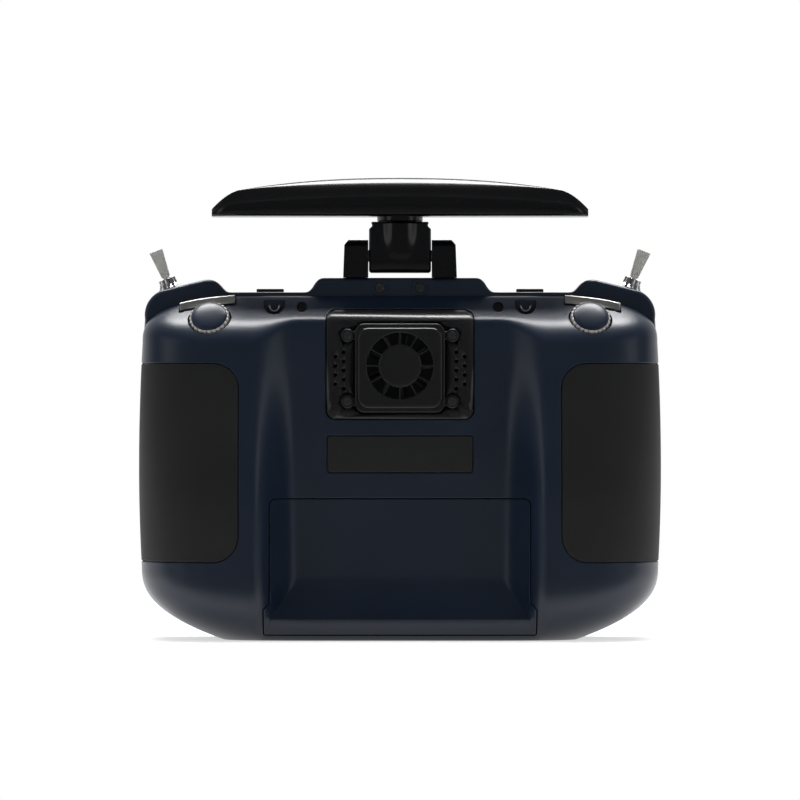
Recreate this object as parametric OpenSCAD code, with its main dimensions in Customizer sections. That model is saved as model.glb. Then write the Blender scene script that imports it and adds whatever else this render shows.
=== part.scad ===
// Handheld radio transmitter controller, built as it comes apart on a bench.
// Origin: centre of the flat base. +Z up, -Y is the rear that faces away from
// the pilot, +Y is the pilot's face with the sticks. Y = 0 is the parting plane
// of the two housing shells. Millimetres.

/* [Housing] */
// Width across the grips
body_w = 218.4; // [200:1:265]
// Height from the base to the antenna ledge
body_h = 151.2; // [148:1:190]
// Width of the flat base
base_w = 148; // [124:1:160]
// Depth of the grips behind the parting plane
grip_d = 42; // [37:1:51]
// Depth of the middle panel behind the parting plane
panel_d = 24; // [22:0.5:29]
// Depth of the front shell before the parting plane
front_d = 21; // [19:0.5:26]
// Wall thickness of both shells
wall = 2.5; // [2:0.1:3]
// Slope of the top deck from horizontal, degrees
deck_slope = 35; // [30:1:40]
// Gap all round a cover, pad or key
seam = 0.3; // [0.2:0.05:0.4]

/* [Battery bay] */
// Width of the battery door
door_w = 108; // [96:1:110]
// Height of the door's top edge
door_top = 58.8; // [54:0.5:60]
// Diameter of a battery cell
cell_d = 21.4; // [18:0.1:22]
// Length of a battery cell
cell_l = 70.5; // [60:0.5:74]

/* [Module and fan] */
// Width of the module cover
module_w = 61; // [58:0.5:64]
// Width of the raised fan frame
fan_w = 36; // [34:0.5:38]
// Diameter of the fan opening
fan_d = 27.4; // [24:0.2:29]
// Number of grille spokes
spoke_n = 12; // [6:1:16]
// Number of fan blades
blade_n = 9; // [5:1:11]

/* [Antenna] */
// Length of the antenna bar
bar_l = 157.6; // [120:1:180]
// Depth of the antenna bar, front to back
bar_d = 22; // [18:0.5:26]
// Radius of the hinge barrel
barrel_r = 7.2; // [6:0.1:8]
// Radius of the hinge pin
pin_r = 2.5; // [2:0.1:3]
// Radius of the spigot that the bar turns on
spigot_r = 5; // [4:0.1:6]

/* [Controls] */
// Radius of the round stick well in the front face
well_r = 27.5; // [24:0.5:28.5]
// Radius of the ball that covers the stick's pivot
ball_r = 16; // [14:0.5:16.5]
// Length of a stick in front of the front face
stick_l = 29; // [20:1:34]
// Radius of the thumbwheel
thumb_r = 8.4; // [7:0.1:9]
// Number of knurls round the thumbwheel
knurl_n = 24; // [16:1:30]
// Length of a toggle lever above its nut
lever_l = 12.3; // [9:0.1:15]

/* [Hidden] */

$fn = 48;
cut = 1;                        // how far a cutting solid runs past a face
fit = 0.05;                     // radial gap of a running fit
navy = [0.13, 0.18, 0.25];
black = [0.1, 0.1, 0.1];
rubber = [0.16, 0.16, 0.16];
silver = [0.72, 0.71, 0.68];
green = [0.1, 0.3, 0.2];

// Heights and half widths of the housing's outline
hw = body_w / 2;
wide_z = 72;                    // height of the widest point
low_z = 30;                     // top of the lower corner curve
top_z = body_h - 6;             // flat top beside the antenna ledge
corner_z = body_h - 15.6;       // centre height of the upper corner arc
corner_r = 11;
shoulder_x = hw - 28.2;         // peak of the raised shoulder
shoulder_z = body_h - 0.7;
ledge_x = 33.6;                 // half width of the antenna ledge
centre_z = 72;                  // height that the outline shrinks towards
lean = 13.5;                    // slope of the shoulder's top

// The sloped deck and the arch where it meets the shoulder wall
deck_y = 9;                     // depth of the deck's upper edge
wall_y = deck_y - 1.6;          // depth of the shoulder wall that stands behind that edge
deck_z = body_h - 7.6;
arch_z = deck_z - 19.6;
arch_x = hw - 59.2;

// Depths of the rear surface
valley_d = panel_d - 4;         // the panel above the foot
foot_d = panel_d + 9;           // the foot bar under the battery door
base_d = 28;                    // the flat base's rear edge
grip_top_d = grip_d - 11;
valley_z = 25;
foot_z = 9;
roll_z = 24;                    // height at which a grip starts to roll under
flank_x = 42;                   // the middle panel ends, the flank begins
flank_w = 20;

// The module and the fan
fan_z = deck_z - 29.4;
module_low = fan_z - 22;
module_top = deck_z - 6;
panel_y = -panel_d;             // rear face of the middle panel
cover_t = 2.2;
cover_rise = 0.6;
fan_y = panel_y - 4.6;          // rear face of the raised frame
fan_t = 10.6;
screw_x = 21.8;
screw_z = [fan_z - 14.9, fan_z + 12.6];

// The antenna
hinge_y = -2;
hinge_z = body_h + 9.3;
block_hw = 13;
block_top = hinge_z + 14.2;
ear_in = block_hw + 0.3;
ear_out = ear_in + 10.5;
bracket_y = -wall_y + wall + 0.3; // rear face of the bracket, inside the wall
bar_z = block_top + 2.1;        // underside of the bar

// Controls
gimbal_x = hw - 43.2;
gimbal_z = 92;
gimbal_y = front_d - 14;        // height of the stick's pivot
gimbal_w = 52;
wheel_x = hw - 29.7;
wheel_drop = 8.8;
wheel_z = deck_z - wheel_drop;
wheel_y = -deck_y - wheel_drop / tan(deck_slope) - 0.7;
wheel_t = 4;
toggle_x = hw - 12.6;
toggle_y = 6;
toggle_z = body_h - 4.3;
toggle_lean = 21.4;
front_toggle_x = hw - 25;
front_toggle_z = top_z - 13.2;
lever_pivot = 2.5;              // height of a lever's pivot above its panel
key_r = 4.2;
key_x = 55;
screen_z = 41;
screen_w = 70;
screen_h = 38;
eye_x = 52.5;
case_screw_x = 41;
case_screw_z = deck_z - 4.8;

function smooth(t) = let (c = min(max(t, 0), 1)) c * c * (3 - 2 * c);
function quarter(t) = sqrt(max(0, 1 - t * t));

// Half width of the housing at height z
function side_x(z) =
    hw - (z > wide_z
        ? 2.2 * pow((z - wide_z) / (corner_z - wide_z), 2)
        : 1.2 * pow(min((wide_z - z) / (wide_z - low_z), 1), 2))
    - (z < low_z ? (hw - 1.2 - base_w / 2) * pow((low_z - z) / low_z, 2.5) : 0);

// Half width of the rear surface, which arches in below the shoulders
function rear_x(z) = z <= arch_z ? side_x(z) :
    arch_x + (side_x(arch_z) - arch_x)
    * pow(max(0, 1 - pow((z - arch_z) / (deck_z - arch_z), 2.8)), 1 / 2.6);

// Height of that arch at a distance x from the middle
function arch(x) = arch_z + (deck_z - arch_z)
    * pow(1 - pow(max(0, x - arch_x) / (side_x(arch_z) - arch_x), 2.6), 1 / 2.8);

// Depths of the middle panel, the foot's ramp, the grips, and the surface that joins them
function middle(z) = panel_d - (panel_d - valley_d) * smooth((90 - z) / 65);
function foot(z) = z > foot_z
    ? valley_d + (foot_d - valley_d) * pow(max(0, valley_z - z) / (valley_z - foot_z), 1.3)
    : base_d + (foot_d - base_d) * quarter((foot_z - z) / foot_z);
function grip(z) = z > roll_z ? grip_d - (grip_d - grip_top_d) * smooth((z - 55) / (arch_z - 49))
    : base_d + (grip_d - base_d) * quarter((roll_z - z) / roll_z);
function flank(x) = smooth((abs(x) - flank_x) / flank_w);
function depth(x, z) = max(z < valley_z ? foot(z) : 0, middle(z) + (grip(z) - middle(z)) * flank(x));
function deck(z) = deck_y + (deck_z - z) / tan(deck_slope);

// Distance from the middle at which the ramp or the panel meets the flank
function crease_x(z) = z >= valley_z ? flank_x : let (q = min(1, (foot(z) - middle(z)) / (grip(z) - middle(z))))
    min(flank_x + flank_w * (0.5 - sin(asin(1 - 2 * q) / 3)), flank_x + 0.8 * flank_w);

// A share of the half width, shifted so that the share crease_t falls on that crease
crease_t = 0.42;
outer_t = 0.86;
function shifted(t, z, e) = let (c = crease_x(z) / (side_x(min(z, arch_z)) - e), a = abs(t)) sign(t)
    * (a <= crease_t ? a * c / crease_t
        : a < outer_t ? c + (a - crease_t) * (outer_t - c) / (outer_t - crease_t) : a);

// The lesser of two depths, with the crease between them rounded over a length r
function soft_min(a, b, r) = min(a, b) - pow(max(0, r - abs(a - b)), 2) / (4 * r);
function edge(t) = sqrt(max(0, 1 - pow(abs(t), 6)));

// Depth of the rear surface at a share t of its half width, e below the skin
function rear_depth(t, z, e) = let (back = deck_y - e - 0.1, x = t * (rear_x(z) - e))
    back + (soft_min(depth(x, z) - e, deck(z) - e / sin(deck_slope), 2 + 6 * flank(x)) - back) * edge(t);

function rear_levels(e) = let (
    low = e,
    high = deck_z - e * (1 / cos(deck_slope) - tan(deck_slope)) - 0.05,
    step = e > 0 ? 2 : 1,
    levels = concat(
        [1, 4.5, 7], [for (k = [0 : step : 6]) foot_z + (valley_z - foot_z) * k / 6],
        [for (k = [1 : step : 6]) valley_z + (arch_z - valley_z) * k / 7],
        [for (k = [0 : step : 7]) arch_z + (deck_z - arch_z) * sin(12 * k)]))
    concat([low], [for (z = levels) if (z > low + 0.8 && z < high - 0.8) z], [high]);

// The rear surface as a closed loft of level sections, e below the skin
module rear_loft(e) {
    zs = rear_levels(e);
    n = len(zs);
    half = e > 0 ? [crease_t, 0.48, 0.54, 0.62, 0.72, 0.8, 0.86, 0.92, 0.97, 1]
        : [crease_t, 0.45, 0.48, 0.51, 0.54, 0.6, 0.66, 0.73, 0.8, 0.86, 0.91, 0.95, 0.98, 0.994, 1];
    shares = concat([for (k = [len(half) - 1 : -1 : 0]) -half[k]], [0], half);
    m = len(shares) - 1;
    front = e > 0 ? cut : 0;
    points = [for (z = zs) for (j = [-1 : m + 1]) let (t = shifted(shares[min(max(j, 0), m)], z, e))
        [t * (rear_x(z) - e), j < 0 || j > m ? front : -rear_depth(t, z, e), z]];
    function at(i, j) = i * (m + 3) + j;
    faces = concat(
        [[for (j = [0 : m + 2]) at(0, j)]],
        [[for (j = [m + 2 : -1 : 0]) at(n - 1, j)]],
        [for (i = [0 : n - 2]) for (j = [0 : m + 1]) [at(i, j), at(i + 1, j), at(i + 1, j + 1)]],
        [for (i = [0 : n - 2]) for (j = [0 : m + 1]) [at(i, j), at(i + 1, j + 1), at(i, j + 1)]],
        [for (i = [0 : n - 2]) [at(i, m + 2), at(i + 1, m + 2), at(i + 1, 0)]],
        [for (i = [0 : n - 2]) [at(i, m + 2), at(i + 1, 0), at(i, 0)]]);
    polyhedron(points, faces, convexity = 6);
}

// Right half of the housing's outline, from the base up to the ledge
function half_outline() = concat(
    [for (z = [0, 2, 5, 8, 12, 16, 20, 25, 30, 44, 58, 72, 90, 107]) [side_x(z), z]],
    [[side_x(arch_z), arch_z]],
    [for (a = [0 : 12.75 : 90 - lean])
        [side_x(corner_z) - corner_r * (1 - cos(a)), corner_z + corner_r * sin(a)]],
    [[shoulder_x + 2, shoulder_z - 0.3], [shoulder_x, shoulder_z], [shoulder_x - 2, shoulder_z - 0.1],
     [shoulder_x - 3.7, shoulder_z - 0.6], [shoulder_x - 5.4, shoulder_z - 1.8],
     [shoulder_x - 7.1, shoulder_z - 3.9], [shoulder_x - 9, top_z],
     [ledge_x + 7, top_z], [ledge_x + 5, top_z + 0.1], [ledge_x + 3.4, top_z + 1.4],
     [ledge_x + 1.7, body_h - 1.7], [ledge_x, body_h]]);

// The closed outline, shrunk by e towards the middle
function outline(e) = let (
    right = half_outline(),
    sx = (hw - e) / hw,
    sz = (centre_z - e) / centre_z,
    half = [for (p = right) [p[0] * sx, centre_z + (p[1] - centre_z) * sz]])
    concat(half, [for (k = [len(half) - 1 : -1 : 0]) [-half[k][0], half[k][1]]]);

// Extrusions of an X-Z outline along Y, and of a Y-Z outline along X
module along_y(y0, y1) translate([0, y1, 0]) rotate([90, 0, 0]) linear_extrude(y1 - y0) children();
module along_x(x0, x1) translate([x0, 0, 0]) rotate([90, 0, 90]) linear_extrude(x1 - x0) children();
module rod_y(x, z, r, y0, y1) translate([x, y1, z]) rotate([90, 0, 0]) cylinder(r = r, h = y1 - y0);
module box(low, high) translate(low) cube(high - low);
module meshed() resize([0, 0, 0]) children();
module both_sides() for (s = [-1, 1]) scale([s, 1, 1]) children();
module on_side(s) mirror([s < 0 ? 1 : 0, 0, 0]) children();

// A rectangle with round corners, centred on x = 0
module plate(w, z0, z1, r) hull()
    for (x = [r - w / 2, w / 2 - r]) for (z = [z0 + r, z1 - r]) translate([x, z]) circle(r, $fn = 24);

// Faces that join n rings of m points each into a closed solid
function ring_faces(n, m) = concat(
    [[for (j = [m - 1 : -1 : 0]) j]],
    [[for (j = [0 : m - 1]) (n - 1) * m + j]],
    [for (k = [0 : n - 2]) for (j = [0 : m - 1]) let (a = k * m, b = (j + 1) % m)
        each [[a + j, a + b, a + m + b], [a + j, a + m + b, a + m + j]]]);

// The wall above the deck, e below its skin, with a rounded rear edge
module crown(e) {
    r = 1.6;
    foot_x = side_x(corner_z) - 1.2 - e;
    rings = concat([for (a = [90, 60, 30, 0]) [e - wall_y + r * (1 - sin(a)), r * (1 - cos(a))]],
        [[e > 0 ? cut : 0, 0]]);
    points = [for (s = rings) for (p = concat([[foot_x - s[1], arch_z - 6]],
        [for (p = outline(e + s[1])) if (p[1] > arch_z + 5) p], [[s[1] - foot_x, arch_z - 6]]))
        [p[0], s[0], p[1]]];
    polyhedron(points, ring_faces(len(rings), len(points) / len(rings)), convexity = 4);
}

// The rear half of the housing as a solid, e below its skin
module rear_form(e = 0) {
    crown(e);
    rear_loft(e);
}

// The front half: the outline drawn in over a rounded front edge
module front_form(e = 0) {
    r = 8;
    steps = concat([[e > 0 ? -cut : 0, 0]], [for (a = [0 : 30 : 90])
        [front_d - e - r + r * sin(a), 0.6 * r * (1 - cos(a))]]);
    ring_n = len(outline(0));
    points = [for (s = steps) for (p = outline(e + s[1])) [p[0], s[0], p[1]]];
    polyhedron(points, ring_faces(len(steps), ring_n), convexity = 6);
}

// Outline of the battery door, grown by g: wide at the foot, square above it
module door_outline(g = 0) {
    w = door_w / 2 + g;
    foot_w = w + 2.5;
    polygon([[-foot_w, wall + 0.1 - g], [foot_w, wall + 0.1 - g], [foot_w, 13.2], [w, 15.5],
        [w, door_top + g - 2], [w - 0.6, door_top + g - 0.6], [w - 2, door_top + g],
        [2 - w, door_top + g], [0.6 - w, door_top + g - 0.6], [-w, door_top + g - 2],
        [-w, 15.5], [-foot_w, 13.2]]);
}

// Outline of the right grip pad, shrunk by g
pad_x = hw - 42.3;
pad_low = 32.8;
pad_high = body_h - 36;
module pad_outline(g = 0) {
    r = 10.8 - g;
    hull() {
        for (z = [pad_low + g + r, pad_high - g - r]) translate([pad_x + g + r, z]) circle(r, $fn = 32);
        translate([hw - 10, pad_low + g]) square([20, pad_high - pad_low - 2 * g]);
    }
}

// Axes that several pieces share
module at_wheel(s) translate([s * wheel_x, wheel_y, wheel_z]) rotate([0, s * 10, 0]) rotate([50, 0, 0]) children();
module at_toggle(s) translate([s * toggle_x, toggle_y, toggle_z]) rotate([0, s * toggle_lean, 0]) children();
module at_front_toggle(s) translate([s * front_toggle_x, front_d, front_toggle_z]) rotate([-90, 0, 0]) children();
module at_gimbal(s) translate([s * gimbal_x, gimbal_y, gimbal_z]) children();

// The strip that the bumper fills along the arch of the right shoulder
bumper_x = [hw - 40.3, hw - 17.1];
bumper_h = 3.7;
bumper_back = wall_y - 1.5;
module bumper_outline(g = 0) {
    n = 6;
    xs = [for (k = [0 : n]) bumper_x[0] - g + (bumper_x[1] - bumper_x[0] + 2 * g) * k / n];
    polygon(concat([for (x = xs) [x, arch(x) + 0.6 + g]],
        [for (k = [n : -1 : 0]) [xs[k], arch(xs[k]) + 0.6 - bumper_h - g]]));
}

// D-shaped strap recess beside the middle panel
module strap_outline(g = 0) intersection() {
    translate([eye_x, deck_z - 3.4]) circle(4.6 + g, $fn = 32);
    translate([eye_x - 6, deck_z - 10]) square([12, 8.2 + g]);
}

pad_t = 1.2;
lower_screw = [hw - 21.4, 42];
// What stands inside the rear shell: screw posts, the wheel wells and the strap cups
module rear_posts() {
    for (s = [-1, 1]) {
        at_wheel(s) translate([0, 0, -8.4]) cylinder(r = thumb_r + 2.6, h = 20);
        scale([s, 1, 1]) along_y(-60, -9.6) strap_outline(1.6);
        rod_y(s * case_screw_x, case_screw_z, 3.8, -60, 5);
        rod_y(s * lower_screw[0], lower_screw[1], 3.8, -60, 5);
    }
}

module rear_shell() color(navy) meshed() difference() {
    union() {
        difference() {
            rear_form();
            difference() {
                rear_form(wall);
                rear_posts($fn = 20);
            }
        }
        for (s = [-1, 1]) rod_y(s * 8.4, body_h - 4.2, 3.5, -wall_y - 0.5, -wall_y + 1, $fn = 24);
    }
    // openings for the door, the module, the nameplate and the pads
    along_y(-80, -deck_y - 1.6) door_outline(seam);
    along_y(-60, panel_y + 12) plate(module_w + 2 * seam, module_low - seam, module_top + seam, 4);
    along_y(-60, panel_y + 1.2) plate(60.4 + 2 * seam, fan_z - 44.3 - seam, fan_z - 29.2 + seam, 1.4);
    both_sides() difference() {
        along_y(-60, cut) pad_outline(-seam / 2);
        rear_form(pad_t + 0.1);
    }
    rear_holes($fn = 20);
}

module rear_holes() for (s = [-1, 1]) {
    at_wheel(s) {
        translate([0, 0, -6]) cylinder(r = thumb_r + 0.8, h = 20, $fn = 36);
        translate([0, 0, -12]) cylinder(r = 2.6, h = 12);
    }
    scale([s, 1, 1]) {
        along_y(-60, -bumper_back + 2) bumper_outline(0.35);
        along_y(-60, -11.4) strap_outline();
        box([ear_in + 1 - seam, bracket_y - seam, top_z], [ear_out - 1 + seam, cut, body_h + cut]);
    }
    for (p = [[case_screw_x, case_screw_z], lower_screw]) {
        rod_y(s * p[0], p[1], 2.2, -60, -6);
        rod_y(s * p[0], p[1], 1.5, -60, cut);
    }
    rod_y(s * 8.4, body_h - 4.2, 2.15, -20, -wall_y + 1.6);
    rod_y(s * 8.4, body_h - 4.2, 1.4, -20, -wall_y + 5);
}

// What stands inside the front shell: screw posts, board posts and the roller's lugs
module front_posts() for (s = [-1, 1]) {
    rod_y(s * case_screw_x, case_screw_z, 3.6, seam, 40);
    rod_y(s * lower_screw[0], lower_screw[1], 3.6, seam, 40);
    for (z = [66, 124]) rod_y(s * 32, z, 2.4, 8, 40);
    box([s * 3.6 + roller_x - 0.8, front_d - 8.5, screen_z - 9],
        [s * 3.6 + roller_x + 0.8, 40, screen_z + 3]);
}

module front_shell() color(navy) meshed() difference() {
    front_form();
    difference() {
        front_form(wall);
        front_posts($fn = 20);
    }
    along_y(front_d - wall - 3, front_d + cut)
        plate(screen_w + 6, screen_z - screen_h / 2 - 3, screen_z + screen_h / 2 + 3, 2);
    for (s = [-1, 1]) rod_y(s * gimbal_x, gimbal_z, well_r + seam, front_d - wall - 3, front_d + cut);
    front_holes($fn = 20);
}

module front_holes() {
    low = front_d - wall - 2;
    for (s = [-1, 1]) {
        scale([s, 1, 1]) {
            box([ear_in + 1 - seam, -cut, top_z], [ear_out - 1 + seam, hinge_y + 5.5 + seam, body_h + cut]);
            box([48.9 - seam, 2 - seam, top_z - wall - 2], [60.3 + seam, 9 + seam, top_z + cut]);
        }
        at_toggle(s) translate([0, 0, -12]) cylinder(r = 3.2, h = 24);
        at_front_toggle(s) translate([0, 0, -6]) cylinder(r = 3.2, h = 12);
        rod_y(s * case_screw_x, case_screw_z, 1.25, -cut, 9, $fn = 12);
        rod_y(s * lower_screw[0], lower_screw[1], 1.25, -cut, 9, $fn = 12);
        for (z = [-8, 8]) rod_y(s * key_x, screen_z + z, key_r + seam, low, front_d + cut);
        along_y(low, front_d + cut) {
            translate([s * gimbal_x, trim_z]) square([trim_l + 1, trim_w + 1], center = true);
            translate([s * trim_x, gimbal_z]) square([trim_w + 1, trim_l + 1], center = true);
        }
    }
    rod_y(0, power_z, key_r + 0.8 + seam, low, front_d + cut);
    translate([roller_x, roller_y, screen_z - 3]) rotate([0, 90, 0]) {
        cylinder(r = roller_r + 0.6, h = 5.6, center = true);
        cylinder(r = 1.4, h = 12, center = true);
    }
    for (r = [0, 6]) for (a = [0 : 45 : r > 0 ? 315 : 0])
        rod_y(-speaker_x + r * cos(a), speaker_z + r * sin(a), 1.1, low, front_d + cut, $fn = 8);
}

// Trim rockers, roller, power button and speaker places on the front face
trim_l = 15;
trim_w = 3.6;
trim_z = gimbal_z - well_r - 6.5;
trim_x = gimbal_x - well_r - 5.2;
power_z = 78;
roller_x = hw - 34;
roller_r = 7.5;
roller_y = front_d - 3.8;
speaker_x = hw - 36;
speaker_z = 36;

module front_fascia() color(black) difference() {
    along_y(front_d + 0.05, front_d + 1.6) plate(screen_w + 14, screen_z - screen_h / 2 - 6, screen_z + screen_h / 2 + 6, 4);
    along_y(front_d - cut, front_d + 3) plate(screen_w, screen_z - screen_h / 2, screen_z + screen_h / 2, 1.5);
}

module grip_pad(s) color(rubber) meshed() scale([s, 1, 1]) difference() {
    intersection() {
        rear_form();
        along_y(-60, -0.1) pad_outline(seam / 2);
    }
    rear_form(pad_t);
}

module battery_door() color(navy) meshed() difference() {
    intersection() {
        rear_form();
        along_y(-80, -deck_y - 2) door_outline();
    }
    rear_form(wall);
}

cell_y = -4;
cell_z = [20.5, 43.5];
tray_y = cell_y + cell_d / 2 + 1.6;
module battery_tray() color(black) difference() {
    box([-cell_l / 2 - 3, cell_y, wall + 0.2], [cell_l / 2 + 3, tray_y, cell_z[1] + 12.5]);
    for (z = cell_z) translate([0, cell_y, z]) rotate([0, 90, 0])
        cylinder(d = cell_d + 0.5, h = cell_l + 1.2, center = true);
}

module battery_cells() color([0.2, 0.35, 0.6]) for (z = cell_z) translate([0, cell_y, z]) rotate([0, 90, 0]) {
    cylinder(d = cell_d, h = cell_l - 1.6, center = true);
    cylinder(d = 8, h = cell_l, center = true);
}

module blank_nameplate() color(rubber)
    along_y(panel_y - 0.1, panel_y + 0.9) plate(60.4, fan_z - 44.3, fan_z - 29.2, 1.3);

// The glossy cover: flat over the fan, folded along the deck's slope at its top
module module_cover() color(black) difference() {
    intersection() {
        along_y(-60, 0) plate(module_w, module_low, module_top, 3.8);
        along_x(-module_w / 2, module_w / 2) difference() {
            cover_profile(cover_rise);
            cover_profile(cover_rise - cover_t);
        }
    }
    along_y(-60, 0) plate(fan_w + 2.4, fan_z - 20, fan_z + 18.2, 4);
    for (x = [-1, 1]) for (z = screw_z) rod_y(x * screw_x, z, 3.2, -60, 0);
    for (s = [-1, 1]) {
        for (k = [0 : 5]) rod_y(s * 23.4, fan_z - 9.5 + 3.8 * k, 0.75, -60, 0, $fn = 16);
        for (k = [0 : 3]) rod_y(s * 26.9, fan_z - 7.6 + 3.8 * k, 0.75, -60, 0, $fn = 16);
    }
}
function deck_height(y) = deck_z - (-y - deck_y) * tan(deck_slope);
module cover_profile(g) {
    back = panel_y - g;
    polygon([[panel_y + 12, 0], [back, 0], [back, deck_height(back) + g / cos(deck_slope)],
        [panel_y + 12, deck_height(panel_y + 12) + g / cos(deck_slope)]]);
}

module fan_frame() color(black) {
    difference() {
        union() {
            along_y(fan_y, fan_y + fan_t) plate(fan_w, fan_z - 18, fan_z + 16, 5);
            along_y(fan_y + 1.2, fan_y + 3.6) plate(fan_w + 1.6, fan_z - 19.5, fan_z + 17.6, 4);
            for (x = [-1, 1]) for (z = screw_z) {
                rod_y(x * screw_x, z, 2.9, panel_y - 2.6, panel_y + 2.4);
                box([x * (screw_x - 3) - 3.2, panel_y - 2, z - 1.8], [x * (screw_x - 3) + 3.2, panel_y + 1.4, z + 1.8]);
            }
        }
        rod_y(0, fan_z, fan_d / 2, fan_y - cut, fan_y + fan_t + cut);
        for (x = [-1, 1]) for (z = screw_z) {
            rod_y(x * screw_x, z, 2, panel_y - 4, panel_y - 1);
            rod_y(x * screw_x, z, 1.2, panel_y - 4, panel_y + 4);
        }
    }
    rod_y(0, fan_z, 9.1, fan_y + 0.4, fan_y + 1.6);
    for (k = [0 : spoke_n - 1]) translate([0, fan_y + 1, fan_z]) rotate([0, 360 / spoke_n * k, 0])
        translate([8.6, -0.5, -0.4]) cube([fan_d / 2 - 8.2, 1, 0.8]);
    // the motor's back plate and its three legs
    rod_y(0, fan_z, 7, fan_y + fan_t - 1, fan_y + fan_t);
    for (a = [30, 150, 270]) translate([0, fan_y + fan_t - 1, fan_z]) rotate([0, a, 0])
        translate([6, 0, -1]) cube([fan_d / 2 - 5.6, 1, 2]);
    rod_y(0, fan_z, 1, fan_y + 1.5, fan_y + fan_t - 0.5);
}

// Section of one blade: a thin arc that scoops the air along the shaft
module blade_section() {
    r = 5.5;
    polygon(concat([for (a = [-34 : 17 : 34]) [r * sin(a), r * cos(a) - 5]],
        [for (a = [34 : -17 : -34]) [(r - 0.9) * sin(a), (r - 0.9) * cos(a) - 5]]));
}

// Hub and curved blades on the motor's shaft
module fan_impeller() color(rubber) difference() {
    union() {
        rod_y(0, fan_z, 8, fan_y + 2.2, fan_y + fan_t - 1.6);
        for (k = [0 : blade_n - 1]) translate([0, fan_y + 5.2, fan_z]) rotate([0, 360 / blade_n * k, 0])
            along_x(7.4, fan_d / 2 - 0.8) blade_section();
    }
    rod_y(0, fan_z, 1 + fit, fan_y, fan_y + fan_t);
}

module screw_y(x, z, head_r, shank_r, y0, y1) {
    difference() {
        rod_y(x, z, head_r, y0, y0 + 1.4);
        rod_y(x, z, 1, y0 - cut, y0 + 0.8, $fn = 6);
    }
    rod_y(x, z, shank_r, y0 + 1.3, y1);
}

module module_screws() color(silver) for (x = [-1, 1]) for (z = screw_z)
    screw_y(x * screw_x, z, 1.8, 1, panel_y - 2.5, panel_y + 9);

module module_board() color(green) difference() {
    along_y(panel_y + 7.2, panel_y + 8.8) plate(module_w - 8, module_low + 2, module_top - 8, 2);
    for (x = [-1, 1]) for (z = screw_z) rod_y(x * screw_x, z, 1.2, panel_y + 5, panel_y + 10);
}

// Two ears that rise through the ledge from one bar screwed on inside it
module antenna_bracket() color(black) {
    difference() {
        union() {
            for (s = [-1, 1]) scale([s, 1, 1]) {
                intersection() {
                    along_x(ear_in, ear_out) ear_outline(7);
                    along_y(-20, 20) polygon([[ear_in, body_h + 0.2], [ear_out, body_h + 0.2],
                        [ear_out - 0.5, hinge_z + 4.5], [ear_out - 2.6, hinge_z + 7.1], [ear_in, hinge_z + 7.1]]);
                }
                box([ear_in + 1, bracket_y, top_z - 1], [ear_out - 1, hinge_y + 5.5, body_h + 1]);
            }
            box([1 - ear_out, bracket_y, top_z - 2], [ear_out - 1, hinge_y + 5.5, body_h - wall - 1.2]);
        }
        translate([0, hinge_y, hinge_z]) rotate([0, 90, 0]) cylinder(r = pin_r + 0.02, h = 3 * ear_out, center = true);
        for (s = [-1, 1]) rod_y(s * 8.4, body_h - 4.2, 1.2, -12, 3);
    }
}
module ear_outline(r) {
    translate([hinge_y, hinge_z]) circle(r);
    translate([hinge_y - r, body_h + 0.2]) square([2 * r, hinge_z - body_h - 0.2]);
}

module bracket_screws() color(black) for (s = [-1, 1]) screw_y(s * 8.4, body_h - 4.2, 1.9, 1.1, -wall_y - 0.1, 1.4);

module hinge_pin() color(silver) translate([0, hinge_y, hinge_z]) rotate([0, 90, 0])
    cylinder(r = pin_r, h = 2 * ear_out - 1.2, center = true);

// Barrel between the ears, with cheeks that narrow into the neck
module hinge_block() color(black) difference() {
    union() {
        intersection() {
            along_x(-block_hw, block_hw) {
                translate([hinge_y, hinge_z]) circle(barrel_r);
                translate([hinge_y - 5.6, hinge_z]) square([11.2, block_top - hinge_z]);
            }
            along_y(-20, 20) polygon([[1.2 - block_hw, hinge_z - barrel_r], [block_hw - 1.2, hinge_z - barrel_r],
                [block_hw, hinge_z - barrel_r + 2], [block_hw, hinge_z + 11.5], [block_hw - 2.6, hinge_z + 12.6],
                [block_hw - 3.6, block_top], [3.6 - block_hw, block_top], [2.6 - block_hw, hinge_z + 12.6],
                [-block_hw, hinge_z + 11.5], [-block_hw, hinge_z - barrel_r + 2]]);
        }
        translate([0, hinge_y, hinge_z + 1]) cylinder(r = barrel_r, h = block_top - hinge_z - 1);
    }
    translate([0, hinge_y, hinge_z]) rotate([0, 90, 0]) cylinder(r = pin_r + fit, h = 3 * block_hw, center = true);
    translate([0, hinge_y, block_top - 9.5]) cylinder(r = spigot_r + fit, h = 10.5);
}

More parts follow.
